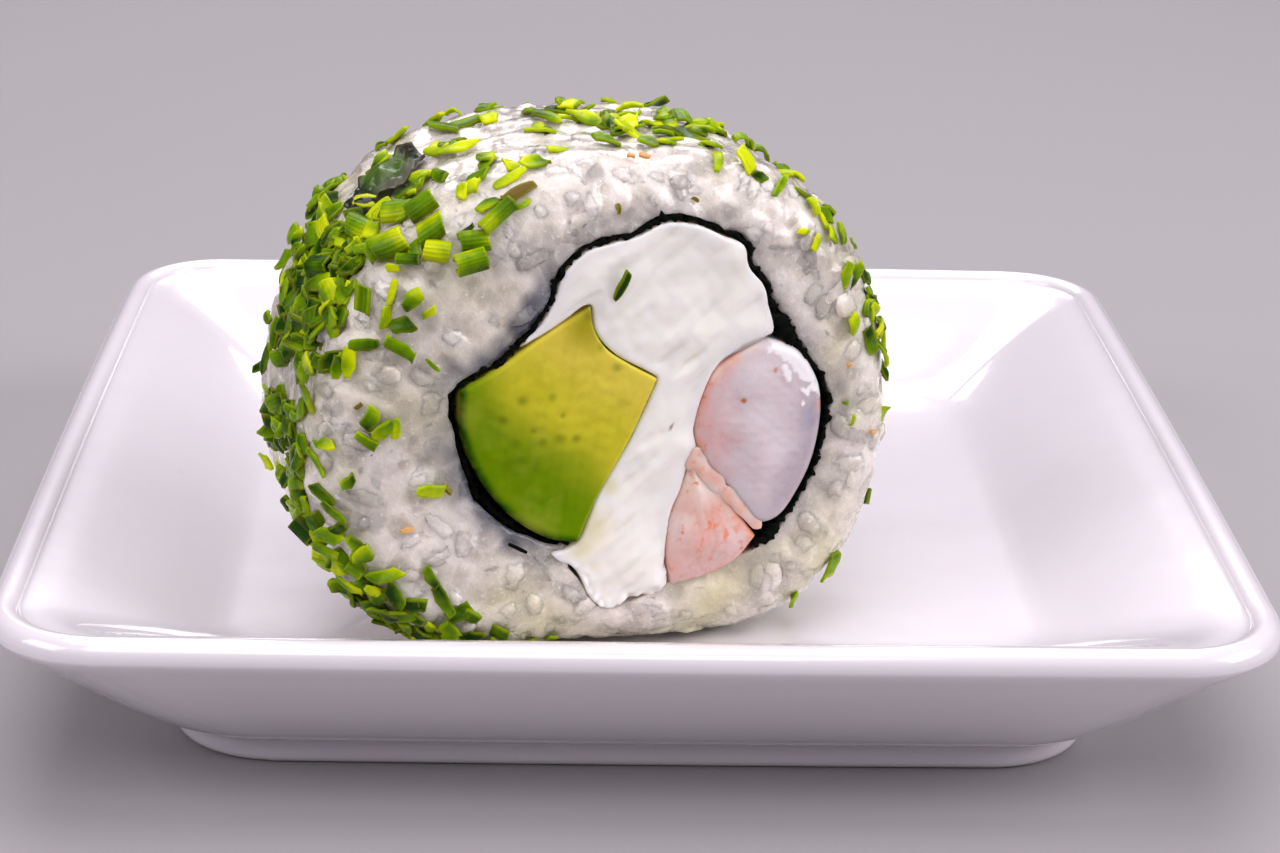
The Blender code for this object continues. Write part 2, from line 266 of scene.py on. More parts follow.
def piece(name, points, quads, tris=None, slot=None, replaces=(), finish=None, **attributes):
    """A mesh object from world points in metres, facing outwards, riding on the roll's body."""
    tris = np.empty((0, 3), int) if tris is None else tris
    if signed_volume(points - points.mean(0), quads, tris) < 0:
        quads, tris = quads[:, ::-1], tris[:, ::-1]
    mesh = bpy.data.meshes.new(name)
    mesh.vertices.add(len(points))
    mesh.vertices.foreach_set("co", points.astype(np.float32).ravel())
    loops = np.concatenate([quads.ravel(), tris.ravel()]).astype(np.int32)
    mesh.loops.add(len(loops))
    mesh.loops.foreach_set("vertex_index", loops)
    starts = np.concatenate([np.arange(len(quads)) * 4, len(quads) * 4 + np.arange(len(tris)) * 3])
    mesh.polygons.add(len(starts))
    mesh.polygons.foreach_set("loop_start", starts.astype(np.int32))
    mesh.update(calc_edges=True)
    mesh.shade_smooth()
    for key, values in attributes.items():
        values = np.asarray(values, np.float32)
        if key == "wrap":
            layer = mesh.uv_layers.new(name="wrap")
            layer.data.foreach_set("uv", values.reshape(-1, 2)[loops].ravel())
        elif values.ndim > 1 and values.shape[-1] == 3:
            colours = np.ones((len(points), 4), np.float32)
            colours[:, :3] = values.reshape(-1, 3)
            mesh.attributes.new(key, "FLOAT_COLOR", "POINT").data.foreach_set("color", colours.ravel())
        else:
            mesh.attributes.new(key, "FLOAT", "POINT").data.foreach_set("value", values.ravel())
    obj = bpy.data.objects.new(name, mesh)
    bpy.context.scene.collection.objects.link(obj)
    mesh.materials.append(finish)
    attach(obj, BODY)
    if replaces:
        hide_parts(*replaces)


def between(face, rear, wall_rows):
    """A closed body between two grids of points: both grids, and walls along their borders."""
    rows, columns = face.shape[:2]
    index = np.arange(rows * columns).reshape(rows, columns)
    ring = np.concatenate([index[0, :-1], index[:-1, -1], index[-1, :0:-1], index[:0:-1, 0]])
    share = (np.arange(wall_rows) + 1)[:, None, None] / (wall_rows + 1)
    flat_face, flat_rear = face.reshape(-1, 3), rear.reshape(-1, 3)
    wall = flat_face[ring] * (1 - share) + flat_rear[ring] * share
    points = np.vstack([flat_face, flat_rear, wall.reshape(-1, 3)])
    total, around = rows * columns, len(ring)
    inner = 2 * total + np.arange(wall_rows * around).reshape(wall_rows, around)
    loops = np.vstack([ring, inner, total + ring])
    after = np.roll(loops, -1, 1)
    walls = np.stack([loops[:-1], loops[1:], after[1:], after[:-1]], -1).reshape(-1, 4)
    sheet = grid_faces(rows, columns)
    return points, np.vstack([sheet, total + sheet[:, ::-1], walls])


def slab(name, section, front, back, wall_rows, slot, replaces, material, **attributes):
    """A piece that carries a flat section through the roll, with a depth of its own at each point."""
    face = np.stack([section[..., 0], front + 0 * section[..., 0], section[..., 1]], -1)
    rear = np.stack([section[..., 0], back + 0 * section[..., 0], section[..., 1]], -1)
    points, quads = between(face, rear, wall_rows)
    tints = {key: value(points) for key, value in attributes.items()}
    piece(name, placed(points), quads, None, slot, replaces, material, **tints)


# ---- materials ----


def put(tree, kind, inputs=(), **settings):
    """A shader node with its settings; an input given as a socket is linked, any other is set."""
    node = tree.nodes.new("ShaderNode" + kind)
    for key, value in settings.items():
        setattr(node, key, value)
    for key, value in dict(inputs).items():
        if isinstance(value, bpy.types.NodeSocket):
            tree.links.new(value, node.inputs[key])
        else:
            node.inputs[key].default_value = value
    return node


def blank(name, **shader_inputs):
    """A material with only its Principled shader, whose own sockets take the constants."""
    material = bpy.data.materials.new(name)
    material.use_nodes = True
    for key, value in shader_inputs.items():
        principled(material).inputs[key.replace("_", " ")].default_value = value
    return material, material.node_tree


def principled(material):
    return material.node_tree.nodes["Principled BSDF"]


def dressed(material, base, rough, *bumps):
    """The material with its colour and roughness linked, and bumps (height, distance, strength) stacked."""
    tree, normal = material.node_tree, None
    for height, distance, strength in bumps:
        inputs = {"Height": height, "Distance": distance, "Strength": strength}
        if normal is not None:
            inputs["Normal"] = normal
        normal = put(tree, "Bump", inputs).outputs["Normal"]
    for socket, source in (("Base Color", base), ("Roughness", rough), ("Normal", normal)):
        if source is not None:
            tree.links.new(source, principled(material).inputs[socket])
    return material


def mixed(tree, factor, first, second):
    """Two colours mixed by a factor, which may be a socket."""
    inputs = {0: factor, 6: first, 7: second}
    for key in (6, 7):
        if not isinstance(inputs[key], bpy.types.NodeSocket):
            inputs[key] = (*inputs[key][:3], 1.0)
    return put(tree, "Mix", inputs, data_type="RGBA").outputs[2]


def noise(tree, where, scale, detail=4.0, roughness=0.55):
    """Noise on a position; scale is in features to a metre."""
    inputs = {"Vector": where, "Scale": scale, "Detail": detail, "Roughness": roughness}
    return put(tree, "TexNoise", inputs).outputs["Fac"]


def ranged(tree, value, low, high, to_low=0.0, to_high=1.0):
    inputs = {0: value, 1: low, 2: high, 3: to_low, 4: to_high}
    return put(tree, "MapRange", inputs, clamp=True).outputs[0]


def math_of(tree, operation, first, second):
    return put(tree, "Math", {0: first, 1: second}, operation=operation).outputs[0]


def attribute(tree, name, output="Fac"):
    return put(tree, "Attribute", attribute_name=name).outputs[output]


def position(tree):
    return put(tree, "TexCoord").outputs["Object"]


# ---- settings a user would change ----


def colour_setting(name, description, default):
    return FloatVectorProperty(
        name=name, description=description, subtype="COLOR", size=3, min=0, max=1, default=default,
    )


def length_setting(name, description, low, high, default):
    return FloatProperty(
        name=name, description=description, subtype="DISTANCE", unit="LENGTH",
        min=low, max=high, default=default,
    )


class DishSettings(PropertyGroup):
    glaze: colour_setting("Glaze", "Colour of the porcelain's glaze", (0.83, 0.80, 0.84))
    gloss: FloatProperty(
        name="Gloss roughness", description="How blurred the glaze's reflections are",
        subtype="FACTOR", min=0, max=1, default=0.16,
    )


class RiceSettings(PropertyGroup):
    grain_length: length_setting("Grain length", "Length of one cooked grain", 0.003, 0.008, 0.0046)
    grain_width: length_setting("Grain width", "Width of one cooked grain", 0.001, 0.004, 0.0024)
    grain_spacing: length_setting(
        "Grain spacing", "Mean distance between neighbouring grains", 0.0015, 0.005, 0.0021,
    )
    colour: colour_setting("Rice", "Colour of the cooked rice", (0.755, 0.695, 0.62))


class FillingSettings(PropertyGroup):
    cheese: colour_setting("Cream cheese", "Colour of the cream cheese", (0.98, 0.935, 0.86))
    avocado_heart: colour_setting(
        "Avocado heart", "Colour of the avocado far from its skin", display(222, 204, 78),
    )
    avocado_skin: colour_setting(
        "Avocado skin side", "Colour of the avocado near its skin", display(104, 140, 0),
    )
    shrimp: colour_setting("Shrimp", "Colour of the cooked shrimp", display(216, 204, 207))
    nori: colour_setting("Nori", "Colour of the nori", (0.003, 0.004, 0.003))


class ChiveSettings(PropertyGroup):
    green: colour_setting("Green", "Colour of the darker chives", display(26, 62, 0))
    yellow: colour_setting(
        "Yellow green", "Colour of the lighter chives and cut edges", display(208, 222, 10),
    )
    share: FloatProperty(
        name="Amount", description="Share of the scattered chives that are made",
        subtype="FACTOR", min=0, max=1, default=1.0,
    )
    seed: IntProperty(name="Seed", description="Changes the scattered chives", default=5)


class StageSettings(PropertyGroup):
    floor: colour_setting("Floor", "Colour of the floor", (0.37, 0.36, 0.37))
    key: FloatProperty(
        name="Key light", description="Power of the lights above and behind", min=0, default=2.65,
    )
    fill: FloatProperty(
        name="Fill light", description="Power of the lights at the sides and in front",
        min=0, default=3.6,
    )


# ---- dish ----

RIM_HALF = DISH_HIGH[0] - 0.35
RIM_HEIGHT = DISH_HIGH[2]
RIM_CORNER = 9.0
SIDE_BOW = 0.35
LIP = 1.35
# Rings (half side, corner radius, height), from the middle of the underside outwards
FOOT_RINGS = (
    (8.0, 3.0, 3.2), (20.0, 4.0, 3.2), (32.2, 5.0, 3.2), (33.3, 5.6, 2.9), (34.0, 6.2, 0.8),
    (34.7, 6.8, 0.0), (36.7, 8.0, 0.0), (37.3, 8.4, 0.5), (37.4, 8.5, 1.9), (37.9, 8.6, 2.4),
)
OUTER_RINGS = ((39.4, 8.7, 3.3), (42.3, 8.9, 5.9), (45.4, 9.0, 9.1), (48.2, 9.0, 12.1))
INNER_RINGS = (
    (45.2, 5.6, 14.55), (42.0, 4.6, 13.1), (39.0, 4.2, 11.5), (36.6, 4.0, 10.1),
    (35.2, 4.1, 9.3), (34.0, 4.3, 8.65), (32.7, 4.6, 8.15),
)
FLOOR_RINGS = ((31.2, 5.0, 8.0), (28.0, 5.0, 7.97), (18.0, 4.0, 7.95), (7.0, 3.0, 7.95))
RING_STEPS = 5
SIDE_POINTS = 36
CORNER_POINTS = 20


def squares(rings):
    """Points round a square for each ring: straight sides bowed out by a parabola, arcs for corners."""
    half, corner, height = (rings[:, i, None] for i in range(3))
    flat = half - corner
    share = np.arange(SIDE_POINTS) / SIDE_POINTS
    angle = (math.pi / 2) * np.arange(CORNER_POINTS) / CORNER_POINTS
    out = np.hstack([half + 0 * share, flat + corner * np.cos(angle)])
    along = np.hstack([-flat + 2 * flat * share, flat + corner * np.sin(angle)])
    out = out + SIDE_BOW * (half / RIM_HALF) * np.maximum(0, 1 - (along / half) ** 2)
    quarters = []
    for quarter in range(4):
        cos, sin = ((1, 0), (0, 1), (-1, 0), (0, -1))[quarter]
        quarters.append(np.stack([out * cos - along * sin, out * sin + along * cos, 0 * out + height], -1))
    return np.concatenate(quarters, 1)


def glaze_finish(settings):
    material, tree = blank(
        "white_glazed_porcelain", Roughness=settings.gloss, Coat_Weight=1.0, Coat_Roughness=0.035,
        Coat_IOR=1.5, IOR=1.5, Subsurface_Weight=0.06, Subsurface_Scale=0.001,
    )
    where = position(tree)
    cloud = noise(tree, where, 40.0, 3.0)
    speck = ranged(tree, noise(tree, where, 1400.0, 2.0), 0.76, 0.8)
    tone = mixed(tree, ranged(tree, cloud, 0.3, 0.7, 0.0, 0.5), settings.glaze, (0.80, 0.775, 0.815))
    tone = mixed(tree, math_of(tree, "MULTIPLY", speck, 0.25), tone, (0.45, 0.42, 0.42))
    bare = attribute(tree, "bare")
    tone = mixed(tree, bare, tone, (0.62, 0.58, 0.52))
    uneven = math_of(tree, "ADD", ranged(tree, cloud, 0.3, 0.7, settings.gloss, settings.gloss + 0.08),
                     math_of(tree, "MULTIPLY", bare, 0.5))
    wave, fine = noise(tree, where, 90.0, 2.0), noise(tree, where, 2600.0, 3.0)
    return dressed(material, tone, uneven, (wave, 0.00018, 0.5), (fine, 0.00001, 0.5))


class URAMAKI_OT_dish(Operator):
    """Make the square porcelain dish"""

    bl_idname = "uramaki.dish"
    bl_label = "Square dish"

    def execute(self, context):
        angle = np.radians(np.linspace(-20, 155, 11))
        drawn = LIP * (1 - np.cos(angle))
        lip = np.stack([RIM_HALF - drawn, RIM_CORNER - drawn, RIM_HEIGHT - LIP * (1 - np.sin(angle))], -1)
        rings = np.vstack([FOOT_RINGS, OUTER_RINGS, lip, INNER_RINGS, FLOOR_RINGS])
        grid = squares(spline(rings, False, RING_STEPS))
        grid[..., 2] = np.maximum(grid[..., 2], 0)
        poles = np.array([(0, 0, FOOT_RINGS[0][2]), (0, 0, FLOOR_RINGS[-1][2])])
        points = np.vstack([grid.reshape(-1, 3), poles])
        quads, tris = tube_faces(*grid.shape[:2])
        bare = smooth(-points[:, 2], -0.35, -0.05)
        piece("dish_glazed", MM * points, quads, tris, "dish", ("dish",),
              glaze_finish(context.scene.uramaki_dish), bare=bare)
        return {"FINISHED"}


# ---- rice ----

CORE_AROUND = 500
CORE_STEP = 0.3
FACE_END = 2.0  # the run where rows that follow the hole's rim give way to rows round the side
HOLE_SHARES = (0.02, 0.05, 0.1, 0.2, 0.35, 0.5, 0.65, 0.8, 0.9, 0.95, 0.98)
GRAIN_ROWS = 6
GRAIN_AROUND = 8
GRAIN_SEED = 11
FILLET = 6.5  # per millimetre: lower values fill the creases between grains more
SINK = 0.03  # how deep the core's mean surface lies under the outline
PRESSED = 0.14  # how far grains stand out of the side, which was rolled in a mat
CUT = 0.03  # how far they stand out of the faces, which were cut with a knife
LEVELLING = 9  # per millimetre: how sharply tops are taken off at those heights
LOWEST_LIFT, HIGHEST_LIFT = -0.5, 1.5
# Painted shade: the tone of deep creases far from every grain, darker than the whiter grains
CREASE_SHADE_TONE = 0.3
GLASSY_SHARE = 0.4  # of the grains; the rest are whiter
RIM_GAP = 0.75  # between the hole's rim and the nearest grain's middle


def roll_radius(angle):
    """A circle with a few named waves: radius times one plus the sum of c cos(n a) + s sin(n a)."""
    return ROLL_RADIUS * (1 + sum(c * np.cos(n * angle) + s * np.sin(n * angle) for n, c, s in ROLL_WAVES))


def skin(angle, run):
    """Point and outward direction on the roll's outline.

    run is the way in millimetres past the start of the rounded front edge: below zero it lies on
    the front face, then it goes over a quarter circle, along the side, over the back's quarter
    circle and onto the back face.
    """
    past = run - EDGE_RUN - SIDE_RUN
    front = np.clip(run, 0, EDGE_RUN) / ROLL_EDGE
    back = np.clip(past, 0, EDGE_RUN) / ROLL_EDGE
    drawn = ROLL_EDGE * (1 - np.sin(front)) - np.minimum(run, 0)
    drawn = drawn + ROLL_EDGE * (1 - np.cos(back)) + np.maximum(past - EDGE_RUN, 0)
    depth = ROLL_EDGE * (1 - np.cos(front) + np.sin(back)) + np.clip(run - EDGE_RUN, 0, SIDE_RUN)
    radius = roll_radius(angle) - drawn
    up = np.maximum(radius * np.sin(angle), -ROLL_SIT + drawn)
    point = np.stack(np.broadcast_arrays(radius * np.cos(angle), depth, up), -1)
    turn = front + back
    slope = (roll_radius(angle + 0.01) - roll_radius(angle - 0.01)) / 0.02 / roll_radius(angle)
    flat = unit(np.stack([np.cos(angle) + slope * np.sin(angle), np.sin(angle) - slope * np.cos(angle)], -1))
    out = np.stack(
        np.broadcast_arrays(flat[..., 0] * np.sin(turn), -np.cos(turn), flat[..., 1] * np.sin(turn)), -1
    )
    return point, out


def hole_line():
    """Where the rice ends round the filling: outside the nori, then along the open line under it."""
    line = spline(NORI_LINE, False, 4)
    knots = np.arange(len(line))[:, None]
    lap = 0.03 + 0.07 * ripple(knots, 3.5, 6) + 0.04 * ripple(knots, 1.6, 7)
    outside = line[:, :2] + sideways(line[:, :2]) * (line[:, 2:] / 2 + lap[:, None])
    return np.vstack([outside, spline(OPEN_LINE, False, 4)])


def hole_run(angle):
    """The run at which the outline meets the hole's rim, on the face or, at the top, on the rounding."""
    wide = roll_radius(angle) - ROLL_EDGE - polar(hole_line(), angle)
    return np.where(wide > 0, -wide, ROLL_EDGE * np.arcsin(np.clip(-wide / ROLL_EDGE, 0, 1)))


def grain_seats(settings, rng):
    """Seeded places of the grains: rows round the side, and a jittered square grid on both faces."""
    gap = settings.grain_spacing / MM
    angles, runs = [], []
    for run in np.arange(0.4 * gap, WHOLE_RUN, gap):
        middle = skin(np.linspace(0, 2 * math.pi, 90), run)[0][:, [0, 2]]
        length = np.linalg.norm(np.diff(middle, axis=0), axis=1).sum()
        count = int(length / gap)
        place = np.arange(count) + rng.uniform(0, 1) + rng.uniform(-0.38, 0.38, count)
        angles.append(place / count * 2 * math.pi)
        runs.append(np.full(count, run) + rng.uniform(-0.4, 0.4, count) * gap)
    for face in (0, 1):
        across, up = np.meshgrid(np.arange(-24, 24, gap), np.arange(-24, 24, gap))
        spots = np.stack([across, up], -1).reshape(-1, 2) + rng.uniform(-0.4, 0.4, (across.size, 2)) * gap
        angle = np.arctan2(spots[:, 1], spots[:, 0])
        away = np.hypot(spots[:, 0], spots[:, 1])
        run = roll_radius(angle) - ROLL_EDGE - away
        kept = (run > 0.3 * gap) & (away > 5)
        angles.append(angle[kept])
        runs.append(WHOLE_RUN + run[kept] if face else -run[kept])
    angle, run = np.concatenate(angles), np.concatenate(runs)
    first = hole_run(angle % (2 * math.pi)) + RIM_GAP
    kept = (run > first) & (run < WHOLE_RUN - first)
    return angle[kept], run[kept]


def frames(angle, out, turn, lean, roll):
    """Axes of a lying piece: its length turned in the surface and leaning out of it, width and top.

    With no turn the length points the way run grows, and with a quarter turn the way angle grows.
    """
    side = np.stack([-np.sin(angle), 0 * angle, np.cos(angle)], -1)
    onward = unit(np.cross(side, out))
    side = np.cross(out, onward)
    cos, sin = np.cos(turn)[:, None], np.sin(turn)[:, None]
    length = cos * onward + sin * side
    width = -sin * onward + cos * side
    tilt_cos, tilt_sin = np.cos(lean)[:, None], np.sin(lean)[:, None]
    length, top = tilt_cos * length + tilt_sin * out, -tilt_sin * length + tilt_cos * out
    roll_cos, roll_sin = np.cos(roll)[:, None], np.sin(roll)[:, None]
    return np.stack([length, roll_cos * width + roll_sin * top, -roll_sin * width + roll_cos * top], 1)


def grain_shapes(half, bend):
    """Grains as rings along their length: radius by the root of 1 - |t|^2.6, one end blunter, bent."""
    t = np.linspace(-1, 1, GRAIN_ROWS + 2)[1:-1]
    t = np.sin(t * math.pi / 2)
    wide = (1 - np.abs(t) ** 2.6) ** 0.5 * (1 + 0.1 * t)
    angle = np.arange(GRAIN_AROUND) / GRAIN_AROUND * 2 * math.pi
    ring = np.stack([0 * angle, np.cos(angle), np.sin(angle)], -1)
    shape = wide[:, None, None] * ring[None]
    shape[..., 0] = t[:, None]
    shape = np.vstack([shape.reshape(-1, 3), [(-1, 0, 0), (1, 0, 0)]])
    points = shape[None] * half[:, None, :]
    points[..., 1] += bend[:, None] * (1 - shape[None, :, 0] ** 2)
    return points


def levelled(height, run):
    """Heights with their tops taken off softly: more on the cut faces than on the pressed side."""
    on_side = smooth(run, -1, 2.5) * (1 - smooth(run, WHOLE_RUN - 2.5, WHOLE_RUN + 1))
    cap = CUT + (PRESSED - CUT) * on_side
    return cap - np.log1p(np.exp(LEVELLING * (cap - height))) / LEVELLING


def relief(points, out, seats, axes, half, tones):
    """How far the grains lift the core along its normals, and the tone they give it.

    Each grain is an ellipsoid. A ray from a core point along its normal leaves the ellipsoid at the
    larger root of a quadratic. The lifts are joined by a smooth maximum, the log of the sum of
    their exponentials, which fillets the creases between grains; the tone is the mean of the
    grains' own tones with the squares of the same exponentials as weights. Deep creases far from
    every grain keep the darker crease tone, which is painted shade.
    """
    total = np.full(len(points), math.exp(FILLET * LOWEST_LIFT))
    crisp = total**2
    # painted shade: the creases start from the darker crease tone
    toned = crisp * CREASE_SHADE_TONE
    for seat, axis, size, tone in zip(seats, axes, half, tones):
        close = np.flatnonzero(((points - seat) ** 2).sum(1) < (size[0] + 1.2) ** 2)
        start = (points[close] - seat) @ axis.T / size
        way = out[close] @ axis.T / size
        a = (way**2).sum(1)
        b = (start * way).sum(1)
        c = (start**2).sum(1) - 1
        inside = b * b - a * c
        hit = inside > 0
        lift = (-b[hit] + np.sqrt(inside[hit])) / a[hit]
        weight = np.exp(FILLET * np.clip(lift, LOWEST_LIFT, HIGHEST_LIFT))
        weight = weight * smooth(inside[hit] / a[hit], 0, 0.3)
        total[close[hit]] += weight
        crisp[close[hit]] += weight**2
        toned[close[hit]] += weight**2 * tone
    return np.log(total) / FILLET, toned / crisp


def rice_marks(points):
    """Per point: nearness to the nori (0 to 1), and how far chives have coloured the rice."""
    flat = points[..., [0, 2]]
    line = spline(NORI_LINE, False, 4)
    away = distance_to(flat, line[:, :2])
    angle = np.degrees(np.arctan2(flat[..., 1], flat[..., 0])) % 360
    strong = 0.3 + 0.7 * np.maximum(
        smooth(-np.abs(angle - 138), -34, -12), smooth(-np.abs(angle - 208), -40, -15)
    )
    wobble = 0.6 * ripple(points, 2.2, 5)
    face = smooth(-points[..., 1], -2.5, -0.5) + smooth(points[..., 1], 21.5, 23.5)
    grey = (1 - smooth(away + wobble, 0.3, 2.9)) * strong * face
    low = smooth(-flat[..., 1], 9, 14) * smooth(flat[..., 0], -14, -8)
    right = smooth(flat[..., 0], 14, 18)
    patches = 0.5 + 0.5 * ripple(points, 6.0, 8)
    left = smooth(-np.abs(angle - 160), -45, -20)
    green = np.clip((0.08 + 0.5 * low + 0.3 * right + 0.2 * left) * (0.3 + patches), 0, 1)
    return grey, green


def rice_finish(settings, name, scale, clear):
    material, tree = blank(
        name, Roughness=0.36, IOR=1.42, Subsurface_Weight=1.0, Subsurface_Scale=scale,
        Subsurface_Radius=(1.0, 0.88, 0.8), Coat_Weight=clear, Coat_Roughness=0.04, Coat_IOR=1.45,
    )
    principled(material).subsurface_method = "BURLEY"
    where = position(tree)
    cloud = noise(tree, where, 520.0, 3.0, 0.6)
    # Cells the size of broken grains, each a facet with a tilt and a cloudiness of its own
    cells = put(tree, "TexVoronoi", {"Vector": where, "Scale": 640.0})
    random = put(tree, "VectorMath", {0: cells.outputs["Color"], 1: (0.5, 0.5, 0.5)}, operation="SUBTRACT")
    inside = put(tree, "VectorMath", {0: where, 1: cells.outputs["Position"]}, operation="SUBTRACT")
    tilt = put(tree, "VectorMath", {0: random.outputs[0], 1: inside.outputs[0]}, operation="DOT_PRODUCT")
    facet = put(tree, "SeparateColor", {0: cells.outputs["Color"]}).outputs[0]
    tone = math_of(tree, "ADD", attribute(tree, "tone"), ranged(tree, cloud, 0.3, 0.7, -0.3, 0.3))
    tone = math_of(tree, "ADD", tone, ranged(tree, facet, 0.0, 1.0, -0.3, 0.3))
    tone = math_of(tree, "ADD", tone, ranged(tree, cells.outputs["Distance"], 0.35, 0.8, -0.1, 0.35))
    glassy = mixed(tree, 0.8, settings.colour, (0.44, 0.405, 0.37))
    base = mixed(tree, ranged(tree, tone, 0.0, 0.5), glassy, settings.colour)
    base = mixed(tree, ranged(tree, tone, 0.5, 1.1), base, (0.91, 0.85, 0.79))
    grain = noise(tree, where, 2300.0, 3.0, 0.7)
    # Painted glints: near-white specks where the fine noise peaks, standing in for sparkles of light on the
    # wet grains
    base = mixed(tree, ranged(tree, grain, 0.6, 0.7, 0.0, 0.8), base, (0.97, 0.95, 0.93))
    base = mixed(tree, attribute(tree, "green"), base, (0.62, 0.58, 0.34))
    base = mixed(tree, attribute(tree, "grey"), base, (0.13, 0.135, 0.16))
    rough = ranged(tree, grain, 0.35, 0.65, 0.12, 0.36)
    return dressed(material, base, rough, (tilt.outputs["Value"], 1.0, 0.65), (grain, 0.00018, 0.8))


def rice_core(settings, seat, axes, half, tone):
    """The core, a ring of rows: from the hole's front rim over the face, along the side and back in."""
    round_angle = np.arange(CORE_AROUND) / CORE_AROUND * 2 * math.pi
    start = hole_run(round_angle)
    face_rows = int((FACE_END - start).mean() / CORE_STEP)
    share = np.arange(face_rows)[:, None] / face_rows
    face = start + (FACE_END - start) * share
    side = np.arange(FACE_END, WHOLE_RUN - FACE_END, CORE_STEP)[:, None] + 0 * start
    rows = np.vstack([face, side, WHOLE_RUN - face[::-1]])
    core, core_out = skin(round_angle[None, :], rows)
    core = core - core_out * SINK
    flat_core, flat_out = core.reshape(-1, 3), core_out.reshape(-1, 3)
    lift, core_tone = relief(flat_core, flat_out, seat, axes, half, tone)
    lift = 0.7 * (lift - np.median(lift)) + 0.03 * ripple(flat_core, 1.0, 3)
    lift = levelled(lift + 0.1 * ripple(flat_core, 2.6, 4), rows.ravel())
    core = (flat_core + flat_out * lift[:, None]).reshape(core.shape)
    # The hole's wall closes the ring: its rows keep the rim's outline and only change depth
    wall_share = np.array(HOLE_SHARES)[::-1, None, None]
    wall = core[:1] * (1 - wall_share) + core[-1:] * wall_share
    grid = np.concatenate([core, wall])
    points = grid.reshape(-1, 3)
    faces = grid_faces(len(grid) + 1, CORE_AROUND, wrap=True) % len(points)
    grey, green = rice_marks(points)
    packed_tone = np.full(len(points), 0.5)
    packed_tone[: len(core_tone)] = core_tone
    piece("rice_core", placed(points), faces, None, "rice", ("rice",),
          rice_finish(settings, "rice_packed", 0.0012, 0.9),
          grey=grey, green=green, tone=packed_tone)


def loose_grains(settings, rng, run, seat, out, raised, axes, half, tone):
    """The grains on the core in three pieces, with their tops levelled as the core's are.

    raised is how far the middles were moved along out from the outline, and is taken off again
    to find the height of each point. Points inside the hole are pushed out to its rim.
    """
    loose = rice_finish(settings, "rice_grain", 0.0009, 0.9)
    shapes = grain_shapes(half, rng.normal(0, 0.22, len(run)))
    grains = np.einsum("npk,nkj->npj", shapes, axes) + seat[:, None, :]
    height = ((grains - (seat - out * raised)[:, None]) * out[:, None]).sum(-1)
    grains += (levelled(height, run[:, None]) - height)[..., None] * out[:, None]
    across, up = grains[..., 0], grains[..., 2]
    away = np.hypot(across, up)
    rim = polar(hole_line(), np.arctan2(up, across) % (2 * math.pi)) - 0.1
    grains[..., [0, 2]] *= np.maximum(rim / away, 1)[..., None]
    quads, tris = tube_faces(GRAIN_ROWS, GRAIN_AROUND)
    each = grains.shape[1]
    groups = {
        "rice_grains_front": run < 0,
        "rice_grains_side": (run >= 0) & (run <= WHOLE_RUN),
        "rice_grains_back": run > WHOLE_RUN,
    }
    for name, chosen in groups.items():
        picked = grains[chosen].reshape(-1, 3)
        many = int(chosen.sum())
        grey, green = rice_marks(picked)
        piece(name, placed(picked), repeated(quads, many, each), repeated(tris, many, each),
              "rice", (), loose, grey=grey, green=green, tone=np.repeat(tone[chosen], each))


class URAMAKI_OT_rice(Operator):
    """Make the rice: a core with the relief of its grains, and loose grains all over it"""

    bl_idname = "uramaki.rice"
    bl_label = "Rice"

    def execute(self, context):
        settings = context.scene.uramaki_rice
        rng = np.random.default_rng(GRAIN_SEED)
        angle, run = grain_seats(settings, rng)
        count = len(angle)
        seat, out = skin(angle, run)
        half = np.stack([
            settings.grain_length / MM / 2 * rng.uniform(0.8, 1.15, count),
            settings.grain_width / MM / 2 * rng.uniform(0.85, 1.15, count),
            settings.grain_width / MM / 2 * rng.uniform(0.75, 1.0, count),
        ], -1)
        axes = frames(angle, out, rng.uniform(0, math.pi, count), rng.normal(0, 0.2, count),
                      rng.normal(0, 0.3, count))
        tone = np.where(rng.uniform(size=count) < GLASSY_SHARE, 0.15, 0.75)
        tone = np.clip(tone + rng.normal(0, 0.15, count), 0, 1)
        top = rng.normal(-0.04, 0.13, count)
        raised = (top - half[:, 2])[:, None]
        seat = seat + out * raised
        rice_core(settings, seat, axes, half, tone)
        loose_grains(settings, rng, run, seat, out, raised, axes, half, tone)
        return {"FINISHED"}


# ---- fillings ----

BARREL_FACE_ROWS, BARREL_SIDE_ROWS, BARREL_EDGE_ROWS = 40, 10, 6


def barrel(line, centre, front, back, soft):
    """A closed solid carried through the roll: cut face as a polar grid, rounded edge, side, back.

    Each row is the outline drawn towards the centre. On the faces it is drawn in by the share of
    the row, and over the edges by soft (1 - sin), while the depth moves by soft (1 - cos).
    Returns the grid and, for each row, how far it is from the centre of a face (1 off the faces).
    """
    arm = line - centre
    away = np.linalg.norm(arm, axis=1)
    share = (np.arange(BARREL_FACE_ROWS) + 1) / (BARREL_FACE_ROWS + 1)
    angle = np.linspace(0, math.pi / 2, BARREL_EDGE_ROWS)
    face = share[:, None] * (1 - soft / away)[None]
    edge = 1 - (soft * (1 - np.sin(angle)))[:, None] / away[None]
    straight = np.linspace(front + soft, back - soft, BARREL_SIDE_ROWS + 2)[1:-1]
    scale = np.vstack([face, edge, np.ones((BARREL_SIDE_ROWS, len(line))), edge[::-1], face[::-1]])
    over = soft * (1 - np.cos(angle))
    depth = np.concatenate([
        np.full(BARREL_FACE_ROWS, front), front + over, straight,
        (back - over)[::-1], np.full(BARREL_FACE_ROWS, back),
    ])
    off = np.ones(BARREL_EDGE_ROWS * 2 + BARREL_SIDE_ROWS)
    out = np.concatenate([share, off, share[::-1]])
    spots = centre + arm[None] * scale[..., None]
    grid = np.stack([spots[..., 0], 0 * scale + depth[:, None], spots[..., 1]], -1)
    return grid, out


